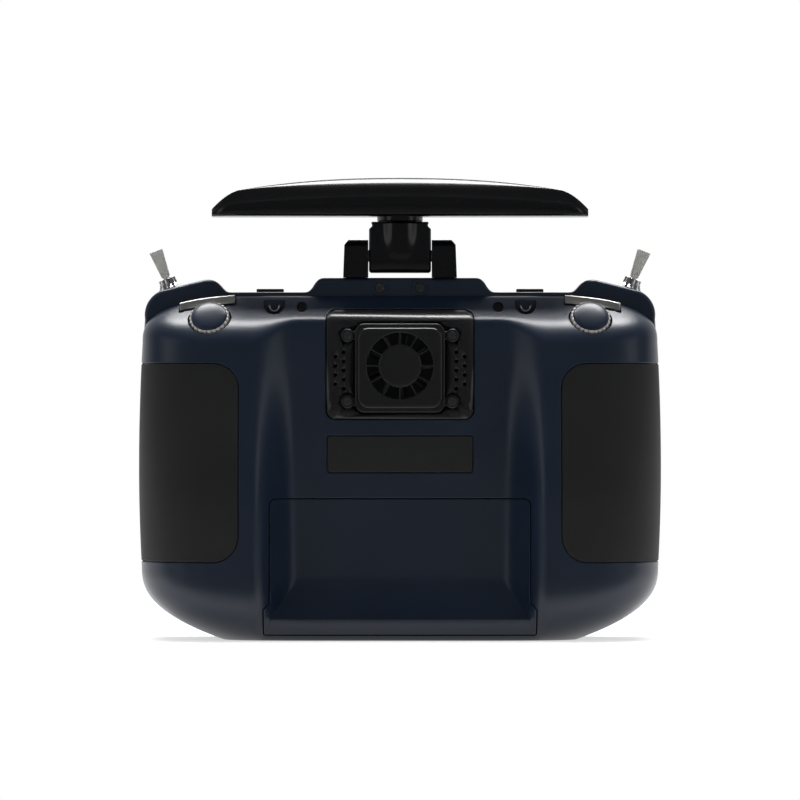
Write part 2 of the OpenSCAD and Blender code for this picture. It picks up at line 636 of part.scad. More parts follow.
// Top of the bar at a distance x from its middle: a long arch with rounded ends
bar_hw = bar_l / 2;
bar_bend = bar_hw - 12.2;
function bar_height(x) = x < bar_bend ? 16.4 - 4.2 * pow(x / bar_bend, 2.3)
    : 12.2 - 9 * pow((x - bar_bend) / (bar_hw - bar_bend), 1.6);
function bar_stations() = let (half = concat([for (k = [0 : 8]) bar_bend * k / 8],
        [for (k = [1 : 6]) bar_bend + (bar_hw - bar_bend) * sin(15 * k)]))
    concat([for (k = [len(half) - 1 : -1 : 1]) -half[k]], half);
module bar_form(e = 0) {
    xs = bar_stations();
    n = len(xs);
    section = [[0.42, 0], [0.5, 0.12], [0.5, 0.5], [0.46, 0.56], [0.33, 0.96], [0.27, 1]];
    ring = concat(section, [for (k = [len(section) - 1 : -1 : 0]) [-section[k][0], section[k][1]]]);
    m = len(ring);
    points = [for (x = xs) for (p = ring) let (end = abs(x) > bar_bend
            ? 1 - 0.35 * pow((abs(x) - bar_bend) / (bar_hw - bar_bend), 3) : 1)
        [x * (bar_hw - e) / bar_hw, hinge_y + p[0] * (bar_d * end - 2 * e),
         bar_z + e + p[1] * (bar_height(abs(x)) - 2 * e)]];
    faces = concat([[for (j = [0 : m - 1]) j]], [[for (j = [m - 1 : -1 : 0]) (n - 1) * m + j]],
        [for (i = [0 : n - 2]) for (j = [0 : m - 1]) let (k = (j + 1) % m)
            each [[i * m + j, (i + 1) * m + j, (i + 1) * m + k], [i * m + j, (i + 1) * m + k, i * m + k]]]);
    polyhedron(points, faces, convexity = 4);
}
slot_l = bar_l - 40;
module antenna_bar() color(black) {
    difference() {
        bar_form();
        box([-slot_l / 2, hinge_y - 6, bar_z + 2.2], [slot_l / 2, hinge_y + 6, bar_z + 8]);
    }
    translate([0, hinge_y, block_top + 0.1]) cylinder(r = 9.6, h = bar_z - block_top);
    translate([0, hinge_y, block_top - 9.2]) cylinder(r = spigot_r, h = 10);
}

module antenna_element() color(green) {
    box([0.5 - slot_l / 2, hinge_y - 5.6, bar_z + 2.5], [slot_l / 2 - 0.5, hinge_y + 5.6, bar_z + 4]);
    box([-6, hinge_y - 4, bar_z + 4], [6, hinge_y + 4, bar_z + 6.5]);
}

module case_screws() color(black) for (s = [-1, 1]) {
    screw_y(s * case_screw_x, case_screw_z, 1.9, 1.15, -7.5, 8);
    screw_y(s * lower_screw[0], lower_screw[1], 1.9, 1.15, -7.5, 8);
}

// Bushing, flared nut and switch can, with a socket for the lever's ball
module toggle_switch() difference() {
    union() {
        translate([0, 0, 0.9]) cylinder(r = 4.3, h = 1, $fn = 24);
        translate([0, 0, 1.8]) cylinder(r = 3.9, h = 1.6, $fn = 6);
        translate([0, 0, -4]) cylinder(r = 2.9, h = 8.2);
        translate([0, 0, -12]) cylinder(r = 4.6, h = 8.1);
        for (x = [-2, 2]) translate([x, 0, -15]) cylinder(r = 0.6, h = 4);
    }
    translate([0, 0, lever_pivot]) sphere(2.15);
    translate([0, 0, lever_pivot]) cylinder(r = 1.85, h = 4);
}
module toggle_lever() {
    translate([0, 0, lever_pivot]) sphere(1.9);
    translate([0, 0, lever_pivot]) cylinder(r = 1.2, h = 3.4);
    translate([0, 0.75, 0]) rotate([90, 0, 0]) linear_extrude(1.5)
        polygon([[-1.5, 5], [1.5, 5], [1.85, 5.6], [2.95, lever_l + 4.7], [-2.95, lever_l + 4.7], [-1.85, 5.6]]);
}
module rear_toggle_switches() color(silver) for (s = [-1, 1]) at_toggle(s) toggle_switch();
module rear_lever(s) color(silver) at_toggle(s) toggle_lever();
module front_toggle_switches() color(silver) for (s = [-1, 1]) at_front_toggle(s) toggle_switch();
module front_lever(s) color(silver) at_front_toggle(s) toggle_lever();

// Knurled ring, turning on the potentiometer's shaft
module thumbwheel(s) color(silver) at_wheel(s) difference() {
    translate([0, 0, -wheel_t]) cylinder(r = thumb_r, h = wheel_t);
    for (k = [0 : knurl_n - 1]) rotate(360 / knurl_n * k) translate([thumb_r + 0.35, 0, -wheel_t - cut])
        cylinder(r = 0.8, h = wheel_t + 2 * cut, $fn = 6);
    translate([0, 0, -wheel_t - cut]) cylinder(r = 2 + fit, h = 3.2 + cut);
}
module wheel_cap(s) color(navy) at_wheel(s) translate([0, 0, 0.05]) rotate_extrude()
    polygon(concat([[0, 0]], [for (a = [0 : 10 : 90]) [(thumb_r - 0.9) * cos(a), 0.3 + 2.3 * sin(a)]]));
module wheel_pots() color(black) for (s = [-1, 1]) at_wheel(s) {
    translate([0, 0, -14.8]) cylinder(r = 5.5, h = 6);
    translate([0, 0, -9]) cylinder(r = 2, h = 9 - wheel_t + 2.9);
}

module bumper(s) color(silver) scale([s, 1, 1]) along_y(-14, -bumper_back) bumper_outline();

module strap_eyes() color(silver) both_sides() translate([eye_x, -12.4, deck_z - 4.4]) {
    rotate([90, 180, 0]) rotate_extrude(angle = 180) translate([2.1, 0]) circle(0.55, $fn = 16);
    for (x = [-2.1, 2.1]) translate([x, 0, 0]) rotate([-90, 0, 0]) cylinder(r = 0.55, h = 2.2, $fn = 16);
}

module top_key(s) color(black) scale([s, 1, 1]) {
    box([48.9, 2, top_z - wall - 1], [60.3, 9, top_z + 1.5]);
    box([48, 1.3, top_z - wall - 2], [61.2, 9.7, top_z - wall - 0.8]);
}

// Square housing with a round front plate and a socket for the ball
yoke_r = 20;
yoke_t = 4.8;
module gimbal_housing(s) color(black) at_gimbal(s) difference() {
    union() {
        box([-gimbal_w / 2, -14.5, -gimbal_w / 2], [gimbal_w / 2, front_d - wall - 0.3 - gimbal_y, gimbal_w / 2]);
        rod_y(0, 0, well_r, front_d - wall - 0.4 - gimbal_y, front_d - gimbal_y + 0.6);
    }
    rod_y(0, 0, yoke_r + 3, -13, 10.6);
    sphere(ball_r + 0.5, $fn = 96);
    rod_y(0, 0, ball_r - 2.5, 8, 20);
    for (x = [-1, 1]) translate([x * (yoke_r + 3), 0, 0]) rotate([0, 90, 0])
        cylinder(r = 1.5 + fit, h = 8, center = true);
}

// Ring on two stub axles, with bores for the stick's own axle
module gimbal_yoke(s) color(rubber) at_gimbal(s) difference() {
    union() {
        rod_y(0, 0, yoke_r, -yoke_t / 2, yoke_t / 2);
        for (x = [-1, 1]) translate([x * (yoke_r + 2.2), 0, 0]) rotate([0, 90, 0])
            cylinder(r = 1.5, h = 6, center = true);
    }
    rod_y(0, 0, yoke_r - 3, -5, 5);
    cylinder(r = 1.5 + fit, h = 3 * yoke_r, center = true);
}

// Ball cap, hub, axle and shaft of a stick
module stick(s) color(silver) at_gimbal(s) {
    difference() {
        sphere(ball_r, $fn = 96);
        sphere(ball_r - 2);
        box([-20, -20, -20], [20, 3.6, 20]);
    }
    rod_y(0, 0, 4, -4, ball_r - 1);
    rod_y(0, 0, 1.6, ball_r - 2, 14 + stick_l);
    cylinder(r = 1.5, h = 2 * yoke_r - 0.8, center = true);
}
module stick_tip(s) color(silver) at_gimbal(s) difference() {
    union() {
        rod_y(0, 0, 2.6, 13 + stick_l - 10, 15 + stick_l);
        for (k = [0 : 3]) rod_y(0, 0, 3.1, 14 + stick_l - 9 + 2.4 * k, 14 + stick_l - 7.6 + 2.4 * k);
    }
    rod_y(0, 0, 1.6 + 0.02, 0, 14.2 + stick_l);
}

module trim_rocker() {
    translate([0, -0.6, 0]) rotate([90, 0, 0]) linear_extrude(1.6) square([trim_l, trim_w], center = true);
    rotate([90, 0, 90]) translate([0, 0, -trim_l / 2]) linear_extrude(4)
        polygon([[-2.4, -trim_w / 2], [0.9, -trim_w / 2], [1.5, 0], [0.9, trim_w / 2], [-2.4, trim_w / 2]]);
    rotate([90, 0, 90]) translate([0, 0, trim_l / 2 - 4]) linear_extrude(4)
        polygon([[-2.4, -trim_w / 2], [0.9, -trim_w / 2], [1.5, 0], [0.9, trim_w / 2], [-2.4, trim_w / 2]]);
}
module trim_level(s) color(black) translate([s * gimbal_x, front_d, trim_z]) trim_rocker();
module trim_upright(s) color(black) translate([s * trim_x, front_d, gimbal_z]) rotate([0, 90, 0]) trim_rocker();

module push_key(x, z, r) color(black) {
    rod_y(x, z, r, front_d - wall - 0.6, front_d + 1.4);
    rod_y(x, z, r + 0.9, front_d - wall - 1.6, front_d - wall - 0.5);
}

module scroll_roller() color(silver) translate([roller_x, roller_y, screen_z - 3]) rotate([0, 90, 0]) difference() {
    union() {
        cylinder(r = roller_r, h = 4.6, center = true);
        cylinder(r = 1.25, h = 8.6, center = true);
    }
    for (k = [0 : 17]) rotate(20 * k) translate([roller_r + 0.3, 0, 0]) cylinder(r = 0.8, h = 6, center = true, $fn = 6);
}

module screen_glass() color([0.05, 0.06, 0.08])
    along_y(front_d - 2.3, front_d - 0.1) plate(screen_w + 5.4, screen_z - screen_h / 2 - 2.7, screen_z + screen_h / 2 + 2.7, 1.7);
module screen_panel() color(silver)
    along_y(front_d - 7, front_d - 2.6) plate(screen_w + 2, screen_z - screen_h / 2 - 1, screen_z + screen_h / 2 + 1, 1);

module main_board() color(green) {
    difference() {
        along_y(6.1, 7.7) plate(70, 62, 128, 2);
        for (x = [-32, 32]) for (z = [66, 124]) rod_y(x, z, 1.5, 5, 9);
    }
    box([-14, 7.6, 84], [14, 9.4, 112]);
}

module speaker() color(black) {
    rod_y(-speaker_x, speaker_z, 10, front_d - wall - 2, front_d - wall - 0.3);
    rod_y(-speaker_x, speaker_z, 7, front_d - wall - 6, front_d - wall - 1.9);
}

rear_shell();
front_shell();
front_fascia();
grip_pad(-1);  // grip_pad_left
grip_pad(1);  // grip_pad_right
battery_door();
battery_tray();
battery_cells();
blank_nameplate();
module_cover();
fan_frame();
fan_impeller();
module_screws();
module_board();
antenna_bracket();
bracket_screws();
hinge_pin();
hinge_block();
antenna_bar();
antenna_element();
case_screws();
rear_toggle_switches();
rear_lever(-1);  // rear_lever_left
rear_lever(1);  // rear_lever_right
front_toggle_switches();
front_lever(-1);  // front_lever_left
front_lever(1);  // front_lever_right
thumbwheel(-1);  // thumbwheel_left
thumbwheel(1);  // thumbwheel_right
wheel_cap(-1);  // wheel_cap_left
wheel_cap(1);  // wheel_cap_right
wheel_pots();
bumper(-1);  // bumper_left
bumper(1);  // bumper_right
strap_eyes();
top_key(-1);  // top_key_left
top_key(1);  // top_key_right
gimbal_housing(-1);  // gimbal_housing_left
gimbal_housing(1);  // gimbal_housing_right
gimbal_yoke(-1);  // gimbal_yoke_left
gimbal_yoke(1);  // gimbal_yoke_right
stick(-1);  // stick_left
stick(1);  // stick_right
stick_tip(-1);  // stick_tip_left
stick_tip(1);  // stick_tip_right
trim_level(-1);  // trim_left_level
trim_upright(-1);  // trim_left_upright
trim_level(1);  // trim_right_level
trim_upright(1);  // trim_right_upright
push_key(-key_x, screen_z + 8, key_r);  // key_1
push_key(-key_x, screen_z - 8, key_r);  // key_2
push_key(key_x, screen_z + 8, key_r);  // key_3
push_key(key_x, screen_z - 8, key_r);  // key_4
push_key(0, power_z, key_r + 0.8);  // power_button
scroll_roller();
screen_glass();
screen_panel();
main_board();
speaker();
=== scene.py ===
import math

import bmesh
import bpy
import numpy as np
from mathutils import Matrix, Vector
from mathutils.geometry import delaunay_2d_cdt


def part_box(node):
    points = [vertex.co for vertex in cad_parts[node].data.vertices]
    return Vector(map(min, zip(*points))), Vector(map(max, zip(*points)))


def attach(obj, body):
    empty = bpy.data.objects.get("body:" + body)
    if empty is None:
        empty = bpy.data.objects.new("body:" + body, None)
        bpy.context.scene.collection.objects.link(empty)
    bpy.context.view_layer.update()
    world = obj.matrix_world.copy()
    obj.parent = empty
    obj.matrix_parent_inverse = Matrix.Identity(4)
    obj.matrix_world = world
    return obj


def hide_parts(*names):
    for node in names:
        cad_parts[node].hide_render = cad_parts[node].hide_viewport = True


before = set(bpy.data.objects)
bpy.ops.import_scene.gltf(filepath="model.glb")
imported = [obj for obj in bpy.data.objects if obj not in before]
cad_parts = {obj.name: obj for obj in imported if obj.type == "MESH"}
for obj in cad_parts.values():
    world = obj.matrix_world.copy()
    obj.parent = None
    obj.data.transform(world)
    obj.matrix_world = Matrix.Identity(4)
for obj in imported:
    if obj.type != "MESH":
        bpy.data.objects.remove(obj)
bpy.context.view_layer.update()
scene = bpy.context.scene

# ------------------------------------------------------------ rear shell
# The rear half of the housing is one injection moulding: two deep grips, a
# flat panel between them, a sloped deck and a low wall behind it. The ABS is
# sprayed in navy with a satin lacquer. Everything here is in millimetres.
MM = 0.001
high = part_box("front_shell")[1]
half_w, body_h = high.x / MM, high.z / MM
base_hw = 74.0
grip_d, panel_d, valley_d, foot_d, base_d, grip_top_d = 41.92, 24.0, 20.0, 33.0, 28.0, 31.0
wide_z, low_z, valley_z, foot_z, roll_z = 72.0, 30.0, 25.0, 9.0, 24.0
corner_z, corner_r = body_h - 15.6, 11.0
deck_y, deck_z, deck_slope = 9.0, body_h - 7.6, math.radians(35)
wall_y = deck_y - 1.6
arch_z, arch_x = deck_z - 19.6, half_w - 59.2
flank_x, flank_w = 42.0, 20.0
top_z = body_h - 6
shoulder_x, shoulder_z, ledge_x = half_w - 28.2, body_h - 0.7, 33.6
wall, seam = 2.5, 0.3
HALF = 171.0                       # the rear surface's half width, measured along it
EDGE_R = 0.4                       # rounding of every moulded edge


def smooth(t):
    t = np.clip(t, 0, 1)
    return t * t * (3 - 2 * t)


def quarter(t):
    return np.sqrt(np.maximum(0, 1 - t * t))


def soft_min(a, b, r):
    return np.minimum(a, b) - np.maximum(0, r - np.abs(a - b)) ** 2 / (4 * r)


def side_x(z):
    """Half width of the housing at height z."""
    upper = 2.2 * ((z - wide_z) / (corner_z - wide_z)) ** 2
    lower = 1.2 * np.minimum((wide_z - z) / (wide_z - low_z), 1) ** 2
    corner = (half_w - 1.2 - base_hw) * np.maximum(0, (low_z - z) / low_z) ** 2.5
    return half_w - np.where(z > wide_z, upper, lower) - corner


arch_side = float(side_x(arch_z))


def rear_x(z):
    """Half width of the rear surface, which arches in below the shoulders."""
    rise = np.clip((z - arch_z) / (deck_z - arch_z), 0, 1)
    arched = arch_x + (arch_side - arch_x) * (1 - rise ** 2.8) ** (1 / 2.6)
    return np.where(z <= arch_z, side_x(np.minimum(z, arch_z)), arched)


def arch(x):
    reach = np.clip((np.abs(x) - arch_x) / (arch_side - arch_x), 0, 1)
    return arch_z + (deck_z - arch_z) * (1 - reach ** 2.6) ** (1 / 2.8)


def middle(z):
    return panel_d - (panel_d - valley_d) * smooth((90 - z) / 65)


def foot(z):
    ramp = valley_d + (foot_d - valley_d) * np.clip((valley_z - z) / (valley_z - foot_z), 0, 1) ** 1.3
    return np.where(z > foot_z, ramp, base_d + (foot_d - base_d) * quarter((foot_z - z) / foot_z))


def grip(z):
    return np.where(z > roll_z, grip_d - (grip_d - grip_top_d) * smooth((z - 55) / (arch_z - 49)),
                    base_d + (grip_d - base_d) * quarter((roll_z - z) / roll_z))


def depth(x, z):
    """How far the surface lies behind the parting plane: panel, flank and grip, and the foot's ramp."""
    side = middle(z) + (grip(z) - middle(z)) * smooth((np.abs(x) - flank_x) / flank_w)
    return np.where(z < valley_z, -soft_min(-foot(z), -side, 0.7), side)


def rear_surface(s, z, inset=0.0):
    """The moulding's outer face: s runs along it from the middle, z is the height."""
    t = np.sin(np.pi / 2 * np.clip(s / HALF, -1, 1))
    x = t * (rear_x(z) - inset)
    back = deck_y - inset - 0.1
    crest = 2 + 6 * smooth((np.abs(x) - flank_x) / flank_w)
    deck = deck_y + (deck_z - z) / math.tan(deck_slope) - inset / math.sin(deck_slope)
    away = soft_min(depth(x, z) - inset, deck, crest)
    lip = np.clip(0.9 - (deck_z - z), 0, 0.9)
    away = away - (0.9 - np.sqrt(0.81 - lip ** 2)) * (inset == 0)
    y = -(back + (away - back) * np.sqrt(np.maximum(0, 1 - np.abs(t) ** 6)))
    return np.stack([x, y + np.maximum(0, np.abs(s) - HALF), z + 0 * x], -1)


def inward(s, z):
    """Unit vectors from the outer face into the wall."""
    d = 0.03
    across = rear_surface(s + d, z) - rear_surface(s - d, z)
    up = rear_surface(s, np.minimum(z + d, deck_z - 0.05)) - rear_surface(s, np.maximum(z - d, 0.0))
    n = np.cross(up, across)
    return n / np.maximum(1e-9, np.linalg.norm(n, axis=-1, keepdims=True))


def unrolled(s, z):
    """The x of a point, carried on past the surface's edge over the flat side."""
    return np.sign(s) * (np.abs(rear_surface(s, z)[..., 0]) + np.maximum(0, np.abs(s) - HALF))


def along(x, z):
    """The s of a point that is drawn in x and z."""
    reach = rear_x(z)
    share = np.clip(np.abs(x) / reach, 0, 1)
    return np.sign(x) * (HALF * 2 / np.pi * np.arcsin(share) + np.maximum(0, np.abs(x) - reach))


def outline(corners, grow=0.0, step=1.2):
    """A closed path through (x, z, radius) corners, anticlockwise, moved outward by grow."""
    points, count = [], len(corners)
    for k, (x, z, r) in enumerate(corners):
        here = np.array([x, z])
        back = np.array(corners[k - 1][:2]) - here
        on = np.array(corners[(k + 1) % count][:2]) - here
        back, on = back / np.linalg.norm(back), on / np.linalg.norm(on)
        half = math.acos(np.clip(back @ on, -1, 1)) / 2
        sign = 1 if back[0] * on[1] - back[1] * on[0] < 0 else -1
        inner = (back + on) / np.linalg.norm(back + on)
        if r < 0.01:
            points.append(here - inner * grow * sign / math.sin(half))
            continue
        centre = here + inner * r / math.sin(half)
        first, last = here + back * r / math.tan(half) - centre, here + on * r / math.tan(half) - centre
        turn = math.pi - 2 * half
        for a in np.linspace(0, 1, 3 + int(r * turn / 0.5)):
            spoke = math.sin((1 - a) * turn) * first + math.sin(a * turn) * last
            points.append(centre + spoke / math.sin(turn) * (r + sign * grow) / r)
    path = []
    for a, b in zip(points, points[1:] + points[:1]):
        n = max(1, math.ceil(np.linalg.norm(b - a) / step))
        path += [a + (b - a) * k / n for k in range(n)]
    return np.array(path)


def inside_by(path, x, z):
    """How far each point lies inside a closed path; less than 0 outside it."""
    a, b = path, np.roll(path, -1, 0)
    best, inside = np.full(x.shape, 1e9), np.zeros(x.shape, bool)
    near = ((x > a[:, 0].min() - 2) & (x < a[:, 0].max() + 2)
            & (z > a[:, 1].min() - 2) & (z < a[:, 1].max() + 2))
    px, pz = x[near][:, None], z[near][:, None]
    if px.size:
        ex, ez = (b - a)[:, 0], (b - a)[:, 1]
        length_squared = np.maximum(1e-12, ex ** 2 + ez ** 2)
        share = np.clip(((px - a[:, 0]) * ex + (pz - a[:, 1]) * ez) / length_squared, 0, 1)
        best[near] = np.hypot(px - a[:, 0] - share * ex, pz - a[:, 1] - share * ez).min(1)
        cross = a[:, 0] + (pz - a[:, 1]) / np.where(np.abs(ez) < 1e-12, 1e-12, ez) * ex
        inside[near] = (((a[:, 1] > pz) != (b[:, 1] > pz)) & (px < cross)).sum(1) % 2 == 1
    return np.where(inside, best, -best)


def rounded(distance, r=EDGE_R):
    """How far a face has dropped at this distance from its rounded edge."""
    return r - np.sqrt(r * r - np.clip(r - distance, 0, r) ** 2)


def triangles(points, loops):
    """A triangulation of points that keeps every line in loops, each (line, closed)."""
    points = [Vector(p) for p in points]
    edges = []
    for line, closed in loops:
        line = [p for k, p in enumerate(line) if k == 0 or max(abs(p[0] - line[k - 1][0]),
                                                               abs(p[1] - line[k - 1][1])) > 1e-5]
        first, n = len(points), len(line)
        points += [Vector(p) for p in line]
        edges += [(first + k, first + (k + 1) % n) for k in range(n if closed else n - 1)]
    verts, _, faces, _, _, _ = delaunay_2d_cdt(points, edges, [], 0, 1e-6)
    return np.array([v[:] for v in verts]), np.array([f[:] for f in faces])


def wrapped(path, limit):
    """An outline drawn in x and z, as points in s and z no more than 1.3 apart."""
    s = along(path[:, 0], path[:, 1])
    out = []
    for k in range(len(path)):
        m = (k + 1) % len(path)
        n = max(1, math.ceil(abs(s[m] - s[k]) / 1.3))
        for i in range(n):
            out.append((float(np.clip(s[k] + (s[m] - s[k]) * i / n, -limit, limit)),
                        path[k, 1] + (path[m, 1] - path[k, 1]) * i / n))
    return out


def crease():
    """The line on the right where the foot's ramp meets the flank, as points in s and z."""
    z = np.linspace(0.3, valley_z - 0.4, 26)
    q = np.clip((foot(z) - middle(z)) / (grip(z) - middle(z)), 0, 1)
    x = flank_x + flank_w * (0.5 - np.sin(np.arcsin(1 - 2 * q) / 3))
    return along(x, z), z


def surface_grid(step, side, low_row, high_row):
    """Points in s and z, close together where the surface rolls under or over."""
    rows = np.concatenate([
        roll_z * (1 - np.cos(np.linspace(0, np.pi / 2, int(36 / step)))),
        np.linspace(roll_z, arch_z, int(90 / step)), foot_z + np.array([-0.35, -0.12, 0, 0.12, 0.35]),
        arch_z + (deck_z - 0.05 - arch_z) * np.sin(np.linspace(0, np.pi / 2, int(34 / step))),
        deck_z - np.array([0.95, 0.75, 0.5, 0.3, 0.15])])
    rows = np.unique(np.round(rows[(rows > low_row + 0.02) & (rows < high_row - 0.02)], 3))
    rows = np.concatenate([[low_row], rows[np.concatenate([[True], np.diff(rows) > 0.02])], [high_row]])
    columns = np.linspace(-HALF, HALF, int(2 * HALF / step / 1.1))
    columns = np.concatenate([[-side, -side + 3, -side + 6], columns, [side - 6, side - 3, side]])
    return columns, rows


def solid(name, verts, faces, sharp=38):
    """A closed mesh object from points in millimetres, shaded smooth but for its sharp edges."""
    mesh = bpy.data.meshes.new(name)
    mesh.from_pydata((np.asarray(verts, float) * MM).tolist(), [], [tuple(map(int, f)) for f in faces])
    shape = bmesh.new()
    shape.from_mesh(mesh)
    bmesh.ops.remove_doubles(shape, verts=shape.verts, dist=2e-7)
    bmesh.ops.recalc_face_normals(shape, faces=shape.faces)
    shape.to_mesh(mesh)
    shape.free()
    piece = bpy.data.objects.new(name, mesh)
    scene.collection.objects.link(piece)
    return shaded(piece, sharp)


def shaded(piece, sharp=38):
    piece.data.polygons.foreach_set("use_smooth", [True] * len(piece.data.polygons))
    piece.data.set_sharp_from_angle(angle=math.radians(sharp))
    return piece


def moulding(name, cuts, step=1.15, inset=0.0):
    """The rear half as a closed solid. Each cut is (corners, drop, way): inside those
    corners the face drops, straight forward ("y") or square to itself ("in")."""
    front = 1.0 if inset else 0.0
    side = HALF + deck_y - inset - 0.1 + front
    columns, z_rows = surface_grid(step, side, inset, deck_z - (1.35 if inset else 0.05))
    s, z = (v.ravel() for v in np.meshgrid(columns, z_rows))
    bottom, top = z_rows[0], z_rows[-1]
    inner = (np.abs(s) < side) & (z > bottom) & (z < top)
    crease_s, crease_at = crease()
    if not inset:
        inner &= (np.abs(np.abs(s) - np.interp(z, crease_at, crease_s)) > 0.55) | (z > valley_z)
    flat_x = unrolled(s, z)
    loops = []
    for corners, drop, way in cuts:
        d = inside_by(outline(corners), flat_x, z)
        inner &= (d < -0.9) | (d > 0.6)
        loops += [(wrapped(outline(corners, g), 999), True) for g in (0.5, 0.38, 0.24, 0.1, 0.0, -0.04)]
    if not inset:
        loops += [(list(zip(sign * crease_s, crease_at)), False) for sign in (-1, 1)]
    rim = [(v, bottom) for v in columns[:-1]] + [(side, v) for v in z_rows[:-1]]
    rim += [(v, top) for v in columns[:0:-1]] + [(-side, v) for v in z_rows[:0:-1]]
    loops.append((rim, True))
    points, faces = triangles(zip(s[inner], z[inner]), loops)
    centre = points[faces].mean(1)
    faces = faces[(np.abs(centre[:, 0]) < side) & (centre[:, 1] > bottom) & (centre[:, 1] < top)]
    used, faces = np.unique(faces, return_inverse=True)
    faces = faces.reshape(-1, 3)
    s, z = points[used, 0], points[used, 1]
    s = np.where(np.abs(np.abs(s) - side) < 1e-4, np.sign(s) * side, s)
    z = np.where(np.abs(z - bottom) < 1e-5, bottom, np.where(np.abs(z - top) < 1e-5, top, z))
    verts = rear_surface(s, z, inset)
    if cuts:
        flat_x, ways = unrolled(s, z), {"in": inward(s, z), "y": np.array([0.0, 1.0, 0.0])}
        for corners, drop, way in cuts:
            d = inside_by(outline(corners), flat_x, z)
            verts = verts + np.where(d > 0.02, drop, rounded(-d))[:, None] * ways[way]
    edge = [(z == bottom, s), ((s == side) & (z > bottom) & (z < top), z),
            (z == top, -s), ((s == -side) & (z > bottom) & (z < top), -z)]
    order = np.concatenate([np.flatnonzero(mask)[np.argsort(key[mask])] for mask, key in edge])
    verts[np.abs(s) == side, 1] = front
    n, m = len(verts), len(order)
    rim = verts[order] * (1, 0, 1) + (0, front, 0)
    verts = np.concatenate([verts, rim, [[0, front, wide_z]]])
    skirt = [(order[k], n + k, n + (k + 1) % m, order[(k + 1) % m]) for k in range(m)]
    cap = [(n + k, n + m, n + (k + 1) % m) for k in range(m)]
    return solid(name, verts, faces.tolist() + skirt + cap)


def eased(points, times=3):
    """The same line with its corners cut, its ends kept."""
    for _ in range(times):
        cut = np.empty((2 * len(points) - 2, 2))
        cut[0::2], cut[1::2] = 0.75 * points[:-1] + 0.25 * points[1:], 0.25 * points[:-1] + 0.75 * points[1:]
        points = np.concatenate([points[:1], cut[1:-1], points[-1:]])
    return points


def half_outline():
    """The right half of the housing's outline, from the base up to the ledge."""
    foot_rows = low_z * (1 - np.cos(np.linspace(0, np.pi / 2, 30)))
    z = np.concatenate([foot_rows, np.linspace(low_z, arch_z, 40)[1:]])
    side = np.stack([side_x(z), z], 1)
    a = np.radians(np.linspace(0, 76.5, 14))
    turn = float(side_x(corner_z)) - corner_r
    bend = np.stack([turn + corner_r * np.cos(a), corner_z + corner_r * np.sin(a)], 1)
    shoulder = np.array([bend[-1], (shoulder_x + 2, shoulder_z - 0.3), (shoulder_x, shoulder_z),
                         (shoulder_x - 2, shoulder_z - 0.1), (shoulder_x - 3.7, shoulder_z - 0.6),
                         (shoulder_x - 5.4, shoulder_z - 1.8), (shoulder_x - 7.1, shoulder_z - 3.9),
                         (shoulder_x - 9, top_z), (shoulder_x - 11.5, top_z)])
    ledge = np.array([(ledge_x + 9.5, top_z), (ledge_x + 7, top_z), (ledge_x + 5, top_z + 0.1),
                      (ledge_x + 3.4, top_z + 1.4), (ledge_x + 1.7, body_h - 1.7), (ledge_x - 0.4, body_h),
                      (ledge_x - 3, body_h)])
    middle_top = np.array([(v, body_h) for v in np.linspace(ledge_x - 6, 0, 6)])
    return np.concatenate([side, bend[:-1], eased(shoulder), eased(ledge), middle_top])


right_half = half_outline()
closed_outline = np.concatenate([right_half, right_half[-2::-1] * (-1, 1)])


def drawn_in(inset, path=closed_outline):
    """The housing's outline, drawn in towards the middle."""
    return np.stack([path[:, 0] * (half_w - inset) / half_w,
                     wide_z + (path[:, 1] - wide_z) * (wide_z - inset) / wide_z], 1)


def lofted(name, rings, sharp=38):
    """A closed solid through rings, each (closed x-z path, y), all of one length."""
    n = len(rings[0][0])
    verts = np.concatenate([np.stack([p[:, 0], np.full(n, y), p[:, 1]], 1) for p, y in rings])
    faces = [tuple(range(n)), tuple(range(len(rings) * n - 1, (len(rings) - 1) * n - 1, -1))]
    for a in range(0, (len(rings) - 1) * n, n):
        faces += [(a + j, a + n + j, a + n + (j + 1) % n, a + (j + 1) % n) for j in range(n)]
    return solid(name, verts, faces, sharp)


def crown(name, inset):
    """The wall above the deck, with its rounded rear edge."""
    r, upper = 1.6, closed_outline[:, 1] > arch_z + 5
    rings = []
    for a in np.radians(np.linspace(90, 0, 9)):
        off = inset + r * (1 - math.cos(a))
        side = float(side_x(corner_z)) - 1.2 - off
        path = np.concatenate([[(side, arch_z - 6)], drawn_in(off)[upper], [(-side, arch_z - 6)]])
        rings.append((path, inset - wall_y + r * (1 - math.sin(a))))
    return lofted(name, rings + [(rings[-1][0], 1.0 if inset else 0.0)])


def carved(base, *steps, sharp=38):
    """base after each (operation, tool) in turn. The tools are used up."""
    for operation, tool in steps:
        change = base.modifiers.new(tool.name, "BOOLEAN")
        change.operation, change.solver, change.object = operation, "MANIFOLD", tool
    graph = bpy.context.evaluated_depsgraph_get()
    mesh = bpy.data.meshes.new_from_object(base.evaluated_get(graph))
    base.modifiers.clear()
    base.data = mesh
    for _, tool in steps:
        bpy.data.objects.remove(tool)
    return shaded(base, sharp)


